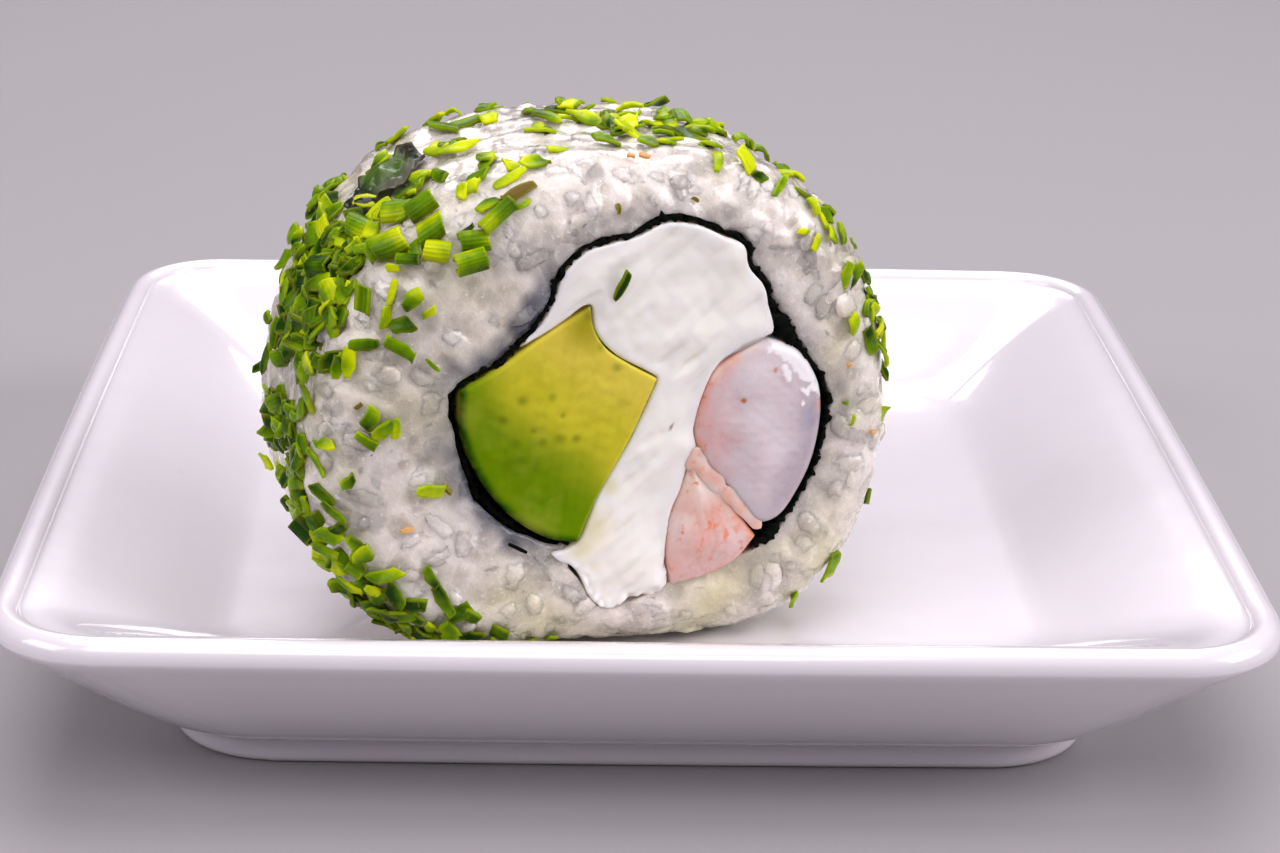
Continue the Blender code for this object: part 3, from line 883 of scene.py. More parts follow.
def carried(name, stretches, centre, proud, soft, dome, rough, count, slot, replaces, material, paint):
    """A filling as a barrel whose cut faces are domed and roughened, painted by a function."""
    line = spaced(outline(stretches), count, closed=True)
    centre = np.array(centre, float)
    grid, out = barrel(line, centre, -proud, ROLL_THICK + proud, soft)
    poles = np.array([(centre[0], -proud, centre[1]), (centre[0], ROLL_THICK + proud, centre[1])])
    points = np.vstack([grid.reshape(-1, 3), poles])
    out = np.concatenate([np.repeat(out, count), [0, 0]])
    facing = np.where(points[:, 1] < ROLL_THICK / 2, -1.0, 1.0)
    flat = smooth(1 - out, 0.0, 0.25)
    push = dome * (1 - out**2) + flat * rough(points)
    on_face = np.abs(points[:, 1] - ROLL_THICK / 2) > ROLL_THICK / 2 - 0.01
    points[:, 1] += facing * push * on_face
    quads, tris = tube_faces(*grid.shape[:2])
    piece(name, placed(points), quads, tris, slot, replaces, material, **paint(points))


AVOCADO_DOTS = (
    (-10.2, 1.4, 0.7), (-9.2, -0.5, 0.75), (-6.9, -0.6, 0.6), (-5.6, -0.5, 0.75), (-8.5, -2.2, 0.8),
    (-7.6, -2.5, 0.7), (-4.2, -0.6, 0.6), (-8.6, 2.9, 0.7), (-6.2, 3.0, 0.6), (-2.2, 6.7, 0.5),
    (-0.9, 4.9, 0.6), (-7.7, 0.4, 0.4), (-5.3, 1.4, 0.4),
)


def avocado_finish():
    material, tree = blank(
        "avocado_flesh", Roughness=0.5, IOR=1.38, Specular_IOR_Level=0.05, Subsurface_Weight=0.4,
        Subsurface_Scale=0.0006, Subsurface_Radius=(0.7, 1.0, 0.25),
    )
    where = position(tree)
    base = attribute(tree, "tint", "Color")
    mottle = noise(tree, where, 700.0, 5.0)
    base = mixed(tree, ranged(tree, mottle, 0.45, 0.7, 0.0, 0.25), base, (0.30, 0.34, 0.004))
    pale = ranged(tree, noise(tree, where, 260.0, 3.0), 0.5, 0.75, 0.0, 0.25)
    base = mixed(tree, pale, base, (0.66, 0.60, 0.08))
    fibre, fine = noise(tree, where, 1100.0, 4.0), noise(tree, where, 4200.0, 2.0)
    return dressed(material, base, ranged(tree, mottle, 0.3, 0.7, 0.36, 0.6),
                   (fibre, 0.00008, 0.4), (fine, 0.00003, 0.4))


def paint_avocado(settings, points):
    """Green at the skin, through yellow green, to yellow at the heart, with dots, a bruised tip and a pale
    painted highlight along the cut edge next to the cheese.
    """
    flat = points[:, [0, 2]]
    wobble = 0.5 * ripple(points, 5.0, 31)
    depth = distance_to(flat, spline((*AVOCADO[2], AVOCADO[3][0]), False, 12))
    edge = distance_to(flat, spline((*AVOCADO[0], *AVOCADO[1], AVOCADO[2][0]), False, 12))
    ripe = smooth(0.62 * flat[:, 0] + 0.78 * flat[:, 1] + wobble, -9.5, 5.0)
    return {"tint": layers(
        settings.avocado_skin,
        (display(206, 199, 48), smooth(ripe, 0.0, 0.6)),
        (settings.avocado_heart, smooth(ripe, 0.5, 1.0)),
        (display(106, 142, 0), 0.75 * (1 - smooth(depth + 0.5 * wobble, 0.8, 4.2))),
        (display(32, 84, 0), 1 - smooth(depth, 0.2, 0.8)),
        (display(8, 34, 0), 1 - smooth(depth, 0.05, 0.3)),
        # painted highlight: a pale line along the cut edge next to the cheese, where light catches it
        (display(200, 208, 70), 0.25 * (1 - smooth(edge, 0.1, 0.35))),
        (display(96, 118, 10), 0.55 * near(flat, AVOCADO_DOTS)),
        (display(158, 148, 4), 0.85 * near(flat, ((-3.4, 8.2, 2.8),))),
        (display(120, 104, 40), 0.6 * near(flat, ((-3.2, 9.4, 0.9),), 0.8)),
    )}


def rough_avocado(points):
    dots = near(points[:, [0, 2]], AVOCADO_DOTS)
    return 0.05 * ripple(points, 2.5, 32) + 0.03 * ripple(points, 0.9, 33) - 0.06 * dots


class URAMAKI_OT_avocado(Operator):
    """Make the avocado wedge"""

    bl_idname = "uramaki.avocado"
    bl_label = "Avocado"

    def execute(self, context):
        paint = partial(paint_avocado, context.scene.uramaki_filling)
        carried("avocado_wedge", AVOCADO, (-6.0, 0.3), 0.35, 0.35, 0.25, rough_avocado, 280,
                "avocado", ("avocado",), avocado_finish(), paint)
        return {"FINISHED"}


def shrimp_finish(name, scale):
    material, tree = blank(
        name, Roughness=0.36, IOR=1.4, Subsurface_Weight=0.9, Subsurface_Scale=scale,
        Subsurface_Radius=(1.0, 0.62, 0.6), Coat_Weight=0.25, Coat_Roughness=0.12,
    )
    where = position(tree)
    base = attribute(tree, "tint", "Color")
    cloud = noise(tree, where, 330.0, 4.0)
    base = mixed(tree, ranged(tree, cloud, 0.45, 0.7, 0.0, 0.4), base, (0.72, 0.66, 0.68))
    speck = ranged(tree, noise(tree, where, 1500.0, 3.0), 0.56, 0.66, 0.0, 0.9)
    base = mixed(tree, math_of(tree, "MULTIPLY", speck, attribute(tree, "pink")), base, display(230, 132, 88))
    fibre, fine = noise(tree, where, 800.0, 5.0), noise(tree, where, 3600.0, 2.0)
    return dressed(material, base, ranged(tree, cloud, 0.3, 0.7, 0.2, 0.42),
                   (fibre, 0.0002, 0.5), (fine, 0.00004, 0.4))


SMEAR_LINE = ((12.6, 5.5), (13.9, 4.8), (14.7, 3.9), (15.4, 2.9), (15.9, 2.0))
SMEAR_DABS = ((13.0, 3.7, 0.35), (13.2, 3.2, 0.42), (13.3, 2.8, 0.32), (14.6, 0.6, 0.2))
SALMON_DOTS = ((12.2, 3.6, 0.3), (9.6, 1.3, 0.3))
MEMBRANE_LINE = (
    (5.9, -2.4), (6.1, -3.8), (7.0, -5.1), (8.3, -6.3), (9.6, -7.6), (10.7, -8.8), (11.7, -9.9),
)
MEMBRANE_LENGTH = 11
MEMBRANE_POINTS = 70
MEMBRANE_COLUMNS = 11
# Dabs of colour, each (across, up, radius): the first three on the large cut, the rest on the small
MILKY_DABS = ((10.5, 3.6, 2.6), (11.0, 0.0, 2.0), (12.6, -3.0, 2.0))
# CREAM_DABS: a painted highlight along the upper left rim of the large cut
CREAM_DABS = ((8.8, 5.2, 1.7), (7.3, 3.7, 1.2), (10.4, 5.6, 1.2))
RED_DABS = ((16.2, 2.2, 1.2), (16.5, 0.2, 0.9), (8.6, 4.9, 1.5), (6.1, -2.4, 1.2))
SMALL_RED_DABS = ((11.0, -10.4, 0.9), (9.7, -9.6, 0.7))
SMALL_CREAM_DABS = ((6.2, -5.6, 2.8), (5.0, -8.5, 1.2))
SHRIMP_ORANGE = display(228, 136, 82)


def cheese_smear(points):
    """How far cheese covers the large cut at each point: a ragged band and dabs, at its front only."""
    flat = points[:, [0, 2]]
    teeth = 0.28 * ripple(flat, 1.1, 49) + 0.1 * ripple(flat, 0.5, 50)
    band = 1 - smooth(distance_to(flat, spline(SMEAR_LINE, False, 10)) + teeth, 0.85, 1.0)
    return np.maximum(band, near(flat, SMEAR_DABS, 0.3)) * smooth(-points[:, 1], -4, -2)


def paint_large_shrimp(flesh, points):
    """Pink at the left, milky in the middle and mauve at the right, with orange parts of the rim and a pale
    cream painted highlight along its upper left.
    """
    flat = points[:, [0, 2]]
    wobble = ripple(points, 3.0, 41)
    left = 1 - smooth(flat[:, 0] + 0.6 * wobble, 6.6, 10.2)
    rim = distance_to(flat, spline(SHRIMP_LARGE[0], True, 12))
    upper = smooth(-flat[:, 0], -8.6, -6.6) * smooth(flat[:, 1], -1.0, 1.5)
    edge = 1 - smooth(rim + 0.15 * wobble, 0.2, 1.0)
    reds = near(flat, RED_DABS)
    tint = layers(
        flesh,
        (display(222, 178, 174), 0.8 * left),
        (display(164, 154, 164), 0.7 * smooth(flat[:, 0] - 0.3 * flat[:, 1], 12.5, 16.0)),
        (display(232, 226, 227), 0.5 * near(flat, MILKY_DABS)),
        (SHRIMP_ORANGE, 0.8 * edge * upper),
        # painted highlight: pale cream along the upper left rim, where the dome catches the light
        (display(238, 212, 196), 0.7 * near(flat, CREAM_DABS)),
        (SHRIMP_ORANGE, 0.7 * reds * (1 - smooth(rim, 0.2, 1.1))),
        (display(140, 144, 170), 0.5 * near(flat, ((15.4, -0.8, 1.6),))),
        (display(206, 120, 60), near(flat, SALMON_DOTS, 0.6)),
        (display(250, 244, 244), cheese_smear(points)),
    )
    return {"tint": tint, "pink": 0.3 * left + 0.4 * reds + 0.9 * edge * upper}


def rough_large_shrimp(points):
    flat = points[:, [0, 2]]
    furrow = near(flat, ((8.4, -2.5, 2.0), (9.0, 1.0, 1.5)))
    waves = 0.06 * ripple(flat * (1.0, 0.45), 3.2, 45) + 0.025 * ripple(flat, 0.9, 46)
    return waves - 0.2 * furrow + 0.18 * cheese_smear(points)


def paint_small_shrimp(points):
    """Mottled pink, paler by the membrane, with an orange rim at the lower right."""
    flat = points[:, [0, 2]]
    wobble = ripple(points, 2.0, 43)
    rim = distance_to(flat, outline(SHRIMP_SMALL, 12))
    edge = 1 - smooth(rim + 0.12 * wobble, 0.1, 0.7)
    mottle = 0.5 + 0.5 * ripple(points, 3.5, 44)
    tint = layers(
        blend(display(226, 178, 162), display(230, 200, 192), mottle),
        (display(214, 170, 166), 0.5 * smooth(-flat[:, 1], 9.0, 13.0)),
        (SHRIMP_ORANGE, 0.8 * edge * smooth(flat[:, 0], 6.5, 9.5)),
        (SHRIMP_ORANGE, 0.7 * near(flat, SMALL_RED_DABS)),
        (display(240, 218, 204), 0.85 * near(flat, SMALL_CREAM_DABS, 0.9)),
    )
    return {"tint": tint, "pink": 0.5 + 0.4 * wobble}


def rough_small_shrimp(points):
    flat = points[:, [0, 2]]
    return 0.08 * ripple(flat, 2.6, 47) + 0.025 * ripple(flat, 0.8, 48)


def paint_membrane(points):
    return blend(display(232, 204, 192), display(226, 176, 156), 0.45 + 0.4 * ripple(points, 1.5, 53))


def membrane_speckle(points):
    return np.full(len(points), 0.4)


def shrimp_membrane():
    """The membrane between the cuts: a low bead that runs through the roll, wider at its upper end."""
    line = spaced(spline(MEMBRANE_LINE, False, 8), MEMBRANE_POINTS)
    way = np.linspace(0, MEMBRANE_LENGTH, MEMBRANE_POINTS)[:, None]
    share = np.linspace(-1, 1, MEMBRANE_COLUMNS)
    taper = np.sqrt(1 - np.abs(2 * way / way[-1] - 1) ** 4)
    wide = taper * (1.3 - 0.7 * smooth(way, 0, 8) + 0.14 * ripple(way, 2.0, 51)[:, None])
    section = line[:, None] + sideways(line)[:, None] * (wide * share)[..., None]
    bead = (0.26 - 0.12 * smooth(way, 0, 8)) * taper * (1 - share**2) + 0.04 * ripple(section, 1.8, 52)
    slab("shrimp_membrane", section, -0.2 - bead, ROLL_THICK + 0.2 + bead, 10, "shrimp", (),
         shrimp_finish("shrimp_membrane_tissue", 0.0008), tint=paint_membrane, pink=membrane_speckle)


class URAMAKI_OT_shrimp(Operator):
    """Make the two cuts of shrimp, the smear of cheese on one and the membrane between them"""

    bl_idname = "uramaki.shrimp"
    bl_label = "Shrimp"

    def execute(self, context):
        paint_large = partial(paint_large_shrimp, context.scene.uramaki_filling.shrimp)
        carried("shrimp_large_cut", SHRIMP_LARGE, (11.2, -1.6), 0.45, 0.9, 0.7, rough_large_shrimp, 200,
                "shrimp", ("shrimp_large",), shrimp_finish("shrimp_flesh", 0.0018), paint_large)
        carried("shrimp_small_cut", SHRIMP_SMALL, (6.7, -9.6), 0.35, 0.7, 0.5, rough_small_shrimp, 160,
                "shrimp", ("shrimp_small",), shrimp_finish("shrimp_pink_flesh", 0.0014), paint_small_shrimp)
        shrimp_membrane()
        return {"FINISHED"}


# Cream cheese: matching points down its left and right borders
CHEESE_RULES = (
    ((-8.6, 7.15), (-8.5, 7.25)), ((-6.9, 8.0), (-6.7, 9.0)), ((-5.0, 9.1), (-5.7, 11.0)),
    ((-3.3, 10.1), (-5.1, 12.6)), ((-2.9, 9.9), (-3.4, 14.2)), ((-2.75, 9.0), (-1.4, 14.7)),
    ((-2.6, 8.0), (0.7, 15.1)), ((-2.1, 7.1), (2.9, 16.0)), ((-1.5, 6.4), (5.5, 15.7)),
    ((-0.7, 5.7), (7.6, 14.7)), ((0.1, 5.2), (9.4, 13.8)), ((1.3, 4.5), (9.9, 12.0)),
    ((2.3, 3.9), (11.2, 10.4)), ((2.65, 3.6), (11.6, 8.9)), ((2.3, 2.6), (12.1, 6.6)),
    ((1.8, 1.4), (10.6, 6.1)), ((1.3, 0.4), (8.9, 5.2)), ((0.9, -0.4), (7.5, 4.2)),
    ((0.5, -1.2), (6.3, 1.8)), ((0.0, -2.1), (5.7, -0.9)), ((-0.7, -3.2), (6.0, -2.9)),
    ((-1.4, -4.4), (5.3, -4.0)), ((-2.2, -5.8), (4.7, -5.9)), ((-2.7, -7.2), (3.9, -8.0)),
    ((-3.5, -9.2), (3.7, -9.8)), ((-4.6, -10.0), (3.6, -11.2)), ((-5.8, -10.2), (3.7, -12.4)),
    ((-5.2, -10.9), (3.9, -13.6)), ((-4.2, -11.4), (3.4, -14.4)), ((-3.3, -12.6), (2.2, -14.6)),
    ((-2.8, -13.9), (0.9, -14.7)), ((-2.1, -14.9), (0.0, -15.2)), ((-1.4, -15.35), (-0.7, -15.4)),
)
CHEESE_COLUMNS = 56
CHEESE_STEPS = 5


def cheese_finish():
    material, tree = blank(
        "cream_cheese_cut", Roughness=0.42, IOR=1.4, Subsurface_Weight=0.7, Subsurface_Scale=0.0014,
        Subsurface_Radius=(1.0, 0.85, 0.65), Coat_Weight=0.2, Coat_Roughness=0.2,
    )
    where = position(tree)
    base = attribute(tree, "tint", "Color")
    cloud = ranged(tree, noise(tree, where, 240.0, 4.0), 0.45, 0.75, 0.0, 0.4)
    base = mixed(tree, cloud, base, (0.95, 0.88, 0.79))
    rough = ranged(tree, noise(tree, where, 600.0, 4.0), 0.35, 0.65, 0.3, 0.55)
    curd, fine = noise(tree, where, 700.0, 3.0), noise(tree, where, 4800.0, 3.0)
    return dressed(material, base, rough, (curd, 0.00012, 0.35), (fine, 0.00002, 0.4))


def paint_cheese(white, points):
    """White, stained green by the avocado and yellow low down, with one dark speck."""
    flat = points[:, [0, 2]]
    by_avocado = near(flat, ((-2.6, -8.4, 2.6), (-3.4, -9.8, 1.8), (-1.2, -5.0, 1.3)))
    stains = smooth(ripple(points, 3.4, 66), 0.7, 1.6) * smooth(-flat[:, 1], 3.0, 8.0)
    return layers(
        np.array(white),
        (display(206, 204, 120), 0.55 * by_avocado),
        (display(232, 214, 160), 0.5 * stains),
        (display(120, 96, 70), near(flat, ((3.8, -0.5, 0.22),), 0.6)),
    )


class URAMAKI_OT_cheese(Operator):
    """Make the cream cheese"""

    bl_idname = "uramaki.cheese"
    bl_label = "Cream cheese"

    def execute(self, context):
        settings = context.scene.uramaki_filling
        rules = np.array(CHEESE_RULES)
        left = spline(rules[:, 0], False, CHEESE_STEPS)
        right = spline(rules[:, 1], False, CHEESE_STEPS)
        share = np.linspace(0, 1, CHEESE_COLUMNS)[None, :, None]
        section = left[:, None] * (1 - share) + right[:, None] * share
        inset = distance_to(section, spaced(np.vstack([left, right[::-1]]), 700, closed=True))
        rounded = 0.22 * (1 - np.sqrt(1 - (1 - np.clip(inset / 0.22, 0, 1)) ** 2))
        slanted = section @ np.array([[0.80, -0.60], [0.60, 0.80]])
        creases = ripple(slanted * (0.35, 1.0), 2.0, 61)
        creases = 0.1 * creases + 0.3 * np.minimum(0, ripple(slanted * (0.2, 1.0), 1.5, 62) + 0.8)
        lumps = 0.22 * ripple(section, 8.0, 63) + 0.025 * ripple(section, 1.3, 64)
        lumps = lumps + 0.06 * ripple(slanted * (0.25, 1.0), 1.0, 68)
        calm = smooth(inset, 0.0, 1.2)
        ragged = smooth(-section[..., 1], 10.5, 12.5) * (1 - smooth(inset, 0.0, 0.9))
        rounded = rounded + ragged * 0.22 * (0.5 + ripple(section, 0.8, 67))
        front = -0.15 + rounded - calm * (creases + lumps)
        back = ROLL_THICK + 0.15 - rounded + calm * 0.3 * ripple(section, 3.0, 65)

        slab("cream_cheese_fill", section, front, back, 12, "cream_cheese", ("cream_cheese",),
             cheese_finish(), tint=partial(paint_cheese, settings.cheese[:]))
        return {"FINISHED"}


# ---- nori ----

NORI_POINTS = 460
NORI_LENGTH = 90
NORI_FOLDS = ((12.9, 6.7, 1.7), (12.4, -10.6, 2.0))
NORI_SUNK = 0.5  # how deep the front edge lies at the lower left
# Rows through the roll, closer together near the cut faces
NORI_DEPTHS = (0.0, 0.12, 0.3, 0.55, 0.9, 1.5, 3.0, 6.0, 12.0, 18.0, 21.0, 22.6, 23.2, 23.6, 23.85, 24.0)


def nori_finish(settings):
    material, tree = blank("nori_sheet", Roughness=0.6, IOR=1.4, Specular_IOR_Level=0.05)
    where = position(tree)
    patch = noise(tree, where, 900.0, 5.0)
    base = mixed(tree, ranged(tree, patch, 0.4, 0.7), settings.nori, (0.004, 0.006, 0.004))
    fibre = noise(tree, where, 2400.0, 4.0)
    return dressed(material, base, ranged(tree, patch, 0.3, 0.7, 0.45, 0.8), (fibre, 0.00008, 0.6))


class URAMAKI_OT_nori(Operator):
    """Make the sheet of nori round the filling"""

    bl_idname = "uramaki.nori"
    bl_label = "Nori"

    def execute(self, context):
        line = spaced(spline(NORI_LINE, False, 6), NORI_POINTS)
        middle, half = line[:, :2], line[:, 2] / 2
        half = half + 0.3 * near(middle, NORI_FOLDS)
        side = sideways(middle)
        way = np.linspace(0, NORI_LENGTH, NORI_POINTS)[:, None]
        crinkle = 0.16 * ripple(way, 2.2, 71) + 0.09 * ripple(way, 0.7, 72)
        tooth = -0.12 + 0.14 * ripple(way, 1.6, 73) + 0.05 * ripple(way, 0.7, 74)
        barbs = 0.35 * np.maximum(ripple(way, 1.5, 80) - 0.7, 0)
        sunk = NORI_SUNK * (1 - smooth(way[:, 0], 18, 26))
        depths = np.array(NORI_DEPTHS)
        close = np.exp(-depths / 1.2) + np.exp(-(ROLL_THICK - depths) / 1.2)
        rows = []
        for sign in (1, -1):
            uneven = 0.66 + 0.34 * ripple(way, 1.3, 75 + sign) + 0.2 * ripple(way, 0.6, 78 + sign)
            wide = (np.maximum(half * uneven, 0.11) + (barbs if sign > 0 else 0))[:, None]
            aside = sign * wide + crinkle[:, None] * close[None]
            spots = middle[:, None] + side[:, None] * aside[..., None]
            depth = depths[None] - (tooth - sunk)[:, None] * np.exp(-depths / 2)[None]
            depth = depth + (0.15 + tooth)[:, None] * np.exp(-(ROLL_THICK - depths) / 2)[None]
            rows.append(np.stack([spots[..., 0], depth, spots[..., 1]], -1)[:, ::sign])
        grid = np.concatenate(rows, 1)
        poles = grid[[0, -1]].mean(1)
        points = np.vstack([grid.reshape(-1, 3), poles])
        quads, tris = tube_faces(*grid.shape[:2])
        piece("nori_wrap", placed(points), quads, tris, "nori", ("nori",),
              nori_finish(context.scene.uramaki_filling))
        return {"FINISHED"}


# ---- chives ----

STEM_ARC = 5
STEM_ROWS = (0.0, 0.08, 0.33, 0.67, 0.92, 1.0)
STEM_WALL = 0.27
# For each kind, which is a whole stem, half a stem, a leaf or a flake
KIND_SPANS = ((4.6, 5.9), (2.0, 2.9), (0.8, 1.6), (0.6, 1.7))
KIND_TILT = (0.1, 0.12, 0.18, 0.25)
KIND_RAGGED = (0.05, 0.15, 0.5, 0.34)
KIND_TORN = (0, 0.1, 0.25, 0.4)
KIND_SHARES = (0.0, 0.06, 0.34, 0.6)  # of the scattered ones
SCATTERED_SIZES = (1.0, 2.1)

# Chives with a place of their own: (angle, run, turn, length, width, tone). Angle is in degrees
# round the roll from its right, run is the way in millimetres as in skin(), turn is in degrees from
# the way into the roll, and tone goes from 0, dark green, to 1, yellow. Below 0 it is brown. Tone is
# partly the chive's own colour and partly painted light: dark for pieces in shade, yellow for lit ones.
WHOLE_STEMS = (
    (121, 3, 100, 3.2, 1.3, 0.5), (132, 1, 60, 2.4, 1.8, 0.5), (140, 4, 35, 1.8, 0.9, 0.3),
    (152, 13, 25, 2.2, 1.9, 0.1), (198, 8, 135, 2.0, 1.9, 0.1),
)
HALF_STEMS = (
    (128, 2, 55, 2.2, 1.8, 0.45), (135, 3, 35, 2.0, 1.8, 0.9), (131, 7, 80, 2.4, 2.4, 0.35),
    (133, 4.5, 80, 2.2, 2.2, 0.5), (135, 9, 50, 2.2, 2.4, 0.55), (140, 6, 55, 2.8, 2.5, 0.6),
    (142, 12, 10, 2.8, 2.4, 0.55), (149, 18, 135, 2.2, 2.4, 0.5), (151, 5, 115, 2.0, 1.4, 0.3),
    (161, 17, 75, 2.2, 1.8, 0.3), (172, 16, 25, 2.2, 1.6, 0.2), (180, 15, 30, 2.2, 1.8, 0.3),
)
LEAVES = (
    (100, 14, 65, 2.6, 1.2, 0.7), (115, 3, 95, 1.8, 0.7, 0.6), (163, 4, 105, 2.4, 1.4, 0.8),
    (165, 12, 90, 2.4, 1.6, 0.8), (151, 9, 105, 2.2, 1.2, 0.5), (157, 9, 30, 2.2, 1.0, 0.9),
    (158, -2, 155, 1.5, 0.5, 0.5), (185, 8, 70, 2.4, 1.6, 0.2), (184, 5.5, 130, 2.6, 0.9, 0.5),
    (190, 5, 140, 2.4, 1.3, 0.2), (193, 4, 130, 2.4, 1.1, 0.3), (206, 4, 90, 1.4, 1.0, 0.3),
    (54, 4.5, 165, 2.9, 1.0, 0.5), (42, 4, 40, 1.4, 0.9, 0.9), (114, 4, 95, 2.9, 1.4, -0.6),
    (114, 5.5, 100, 2.9, 1.1, 0.9), (152, 7, 105, 1.8, 1.0, 1),
)
FLAKES = (
    (116, 20.5, 35, 3.0, 2.4, 0.3), (111, 20, 85, 2.4, 2.4, 0.4), (112, 23, 50, 1.3, 1.0, 0.7),
    (118, 14, 65, 2.1, 2.2, 0.9), (127, 12, 85, 1.8, 2.4, 0.8), (115, 10, 130, 2.2, 2.4, 0.4),
    (119, 7, 50, 2.0, 2.0, 0.3), (122, 6, 50, 1.8, 1.7, 0.8), (108, 6.5, 105, 1.9, 2.0, 0.6),
    (101, 8.5, 95, 1.7, 2.0, 0.9), (112, 7, 80, 1.2, 1.8, 1), (121, 4, 95, 1.9, 1.2, 0.4),
    (128, 3, 90, 1.6, 0.9, 0.1), (143, 4.5, 35, 1.1, 1.0, 1), (137, 14, 35, 3.2, 1.9, 1),
    (146, 10, 30, 2.8, 1.8, 0.1), (147, 17, 145, 2.5, 1.8, 1), (152, 1.5, 50, 1.8, 1.9, 0.1),
    (147, 3.5, 105, 2.0, 0.9, 0.9), (146, 2, 65, 1.8, 1.5, 0.5), (146, 0.5, 70, 1.3, 1.0, 0.8),
    (152, 3, 105, 1.8, 1.4, 0.7), (173, 1.5, 70, 1.8, 1.7, 0.4), (175, 0.5, 35, 1.9, 1.7, 0.5),
    (175, -0.5, 90, 1.6, 1.0, 0.7), (178, 1.5, 150, 1.9, 1.4, 0.4), (193, -3.5, 155, 2.4, 1.7, 0.8),
    (195, -5, 115, 0.9, 0.6, -0.8), (159, 20, 30, 2.2, 2.0, 0.4), (154, 11, 20, 1.9, 0.9, 1),
    (148, 9, 45, 2.1, 2.4, 0.3), (160, 11, 115, 2.1, 2.4, 0.3), (158, 7, 80, 1.8, 2.4, 0.5),
    (164, 5.5, 30, 2.4, 1.3, 0.1), (173, 7.5, 105, 2.6, 2.4, 0.4), (187, 17.5, 55, 2.0, 1.8, 0.3),
    (184, 14, 0, 2.2, 1.9, 0.3), (176, 8.5, 90, 1.7, 2.4, 0.3), (180, 4.5, 20, 1.7, 1.3, 0.7),
    (196, 12, 55, 2.2, 1.5, 0.4), (200, 3, 105, 1.9, 1.5, 0.4), (209, 2, 0, 2.3, 2.0, 0.5),
    (214, 2.5, 105, 2.1, 2.2, 0.1), (211, 3.5, 110, 2.0, 1.2, 1), (212, 7.5, 155, 2.0, 2.4, 0.5),
    (216, 5, 145, 1.7, 2.2, 0.3), (219, 3.5, 155, 2.3, 2.0, 0.4), (215, -0.5, 85, 1.9, 1.3, 0.2),
    (222, 0.5, 80, 2.8, 1.5, 0.2), (239, 2.5, 95, 1.9, 2.0, 0.2), (91, 17, 75, 1.8, 0.8, 0.9),
    (82, 16, 95, 2.1, 2.2, 0.2), (75, 19, 65, 2.3, 2.2, 1), (82, 13, 115, 3.0, 2.4, 0.7),
    (90, 9, 75, 1.8, 2.2, 0.4), (75, 11, 85, 1.8, 1.5, 0.2), (77, 8.5, 60, 1.5, 1.7, 0.8),
    (70, 16, 70, 1.4, 1.7, 0.6), (62, 15, 70, 1.3, 1.5, 0.8), (62, 6, 20, 2.6, 2.4, 1),
    (68, 5.5, 165, 2.7, 1.1, 0.7), (48, 10.5, 90, 1.4, 1.3, 0.4), (48, 8, 50, 1.4, 1.8, 1),
    (41, 5.5, 35, 1.4, 1.3, 0.5), (36, 5, 50, 1.8, 1.8, 0.5), (30, 2.5, 40, 2.2, 1.6, 0.6),
    (28, 3.5, 25, 2.2, 1.5, 0.3), (20, 3.5, 40, 1.4, 1.5, 0.5), (13, 3, 105, 2.4, 2.0, 0.2),
    (9, 4, 100, 2.4, 1.3, 0.4), (356, 0.5, 85, 1.0, 0.5, 0.7), (355, 5, 65, 1.3, 1.8, 0.6),
    (45, 2, 125, 0.9, 0.7, 1), (41, 2, 15, 1.3, 1.0, 1), (0, 0, 175, 0.5, 0.4, 0.4),
    (322, 4, 125, 2.7, 2.0, 0.5), (312, 3.5, 20, 2.0, 1.2, 0.5), (156, 1.5, 0, 0.7, 0.6, -0.6),
    (171, 2.5, 40, 0.7, 0.5, -0.6), (93, 1.5, 0, 0.8, 0.6, -0.5), (73, 2, 60, 0.6, 0.5, -0.5),
)
# Scattered chives: (angle, run, spread round, spread along, how many, mean tone, size)
# The patches of low mean tone in the thick of the left side stand partly for painted shade among the chives.
CHIVE_PATCHES = (
    (134, 10, 5, 3.5, 20, 0.45, 1.1), (146, 14, 5, 4.5, 54, 0.22, 1.3), (156, 13, 4.5, 4, 52, 0.12, 1.3),
    (165, 13, 3.2, 4, 34, 0.1, 1.3), (181, 14, 3, 3.5, 30, 0.1, 1.2), (190, 12, 2.5, 2, 10, 0.2, 1.1),
    (196, 8.5, 2.5, 1.5, 12, 0.3, 1.2), (202, 5, 2.5, 1.5, 9, 0.3, 1.1), (196, 16, 5, 2, 7, 0.35, 1.0),
    (216, 6, 4, 3, 28, 0.12, 1.2), (228, 4, 4, 2.2, 18, 0.15, 1.2), (240, 5, 6, 2, 9, 0.3, 1.1),
    (118, 17, 6, 4, 6, 0.5, 1.2), (86, 16, 9, 3, 20, 0.5, 1.25), (68, 14, 7, 3, 17, 0.6, 1.2),
    (38, 5.5, 8, 1.2, 10, 0.45, 0.95), (18, 4.5, 8, 1, 10, 0.45, 0.9),
)
UNSEEN_PATCHES = (
    (320, 17, 60, 5, 60, 0.4, 1.0), (30, 19, 25, 5, 40, 0.4, 1.0), (180, 26, 110, 3, 90, 0.4, 1.0),
)
# Bits of other colours: orange crumbs on the rice and one dash of nori
CRUMBS = (
    (201, -1, 155, 1.2, 0.7), (84, 6, 85, 0.9, 0.6), (87, 6, 70, 0.6, 0.5), (352, 3, 170, 0.7, 0.6),
    (42, 2, 130, 0.9, 0.6), (10, 0.5, 30, 0.5, 0.4),
)
NORI_DASH = (228, -5.5, 100, 1.7, 0.4)
CHEESE_LEAF = (94, -4.3, -30, 2.5, 1.2, -0.12)  # a shred of chive stuck in the cream cheese
FORWARD = 0.4  # how far the chives in the thick of the left side lean to the front, propped on others


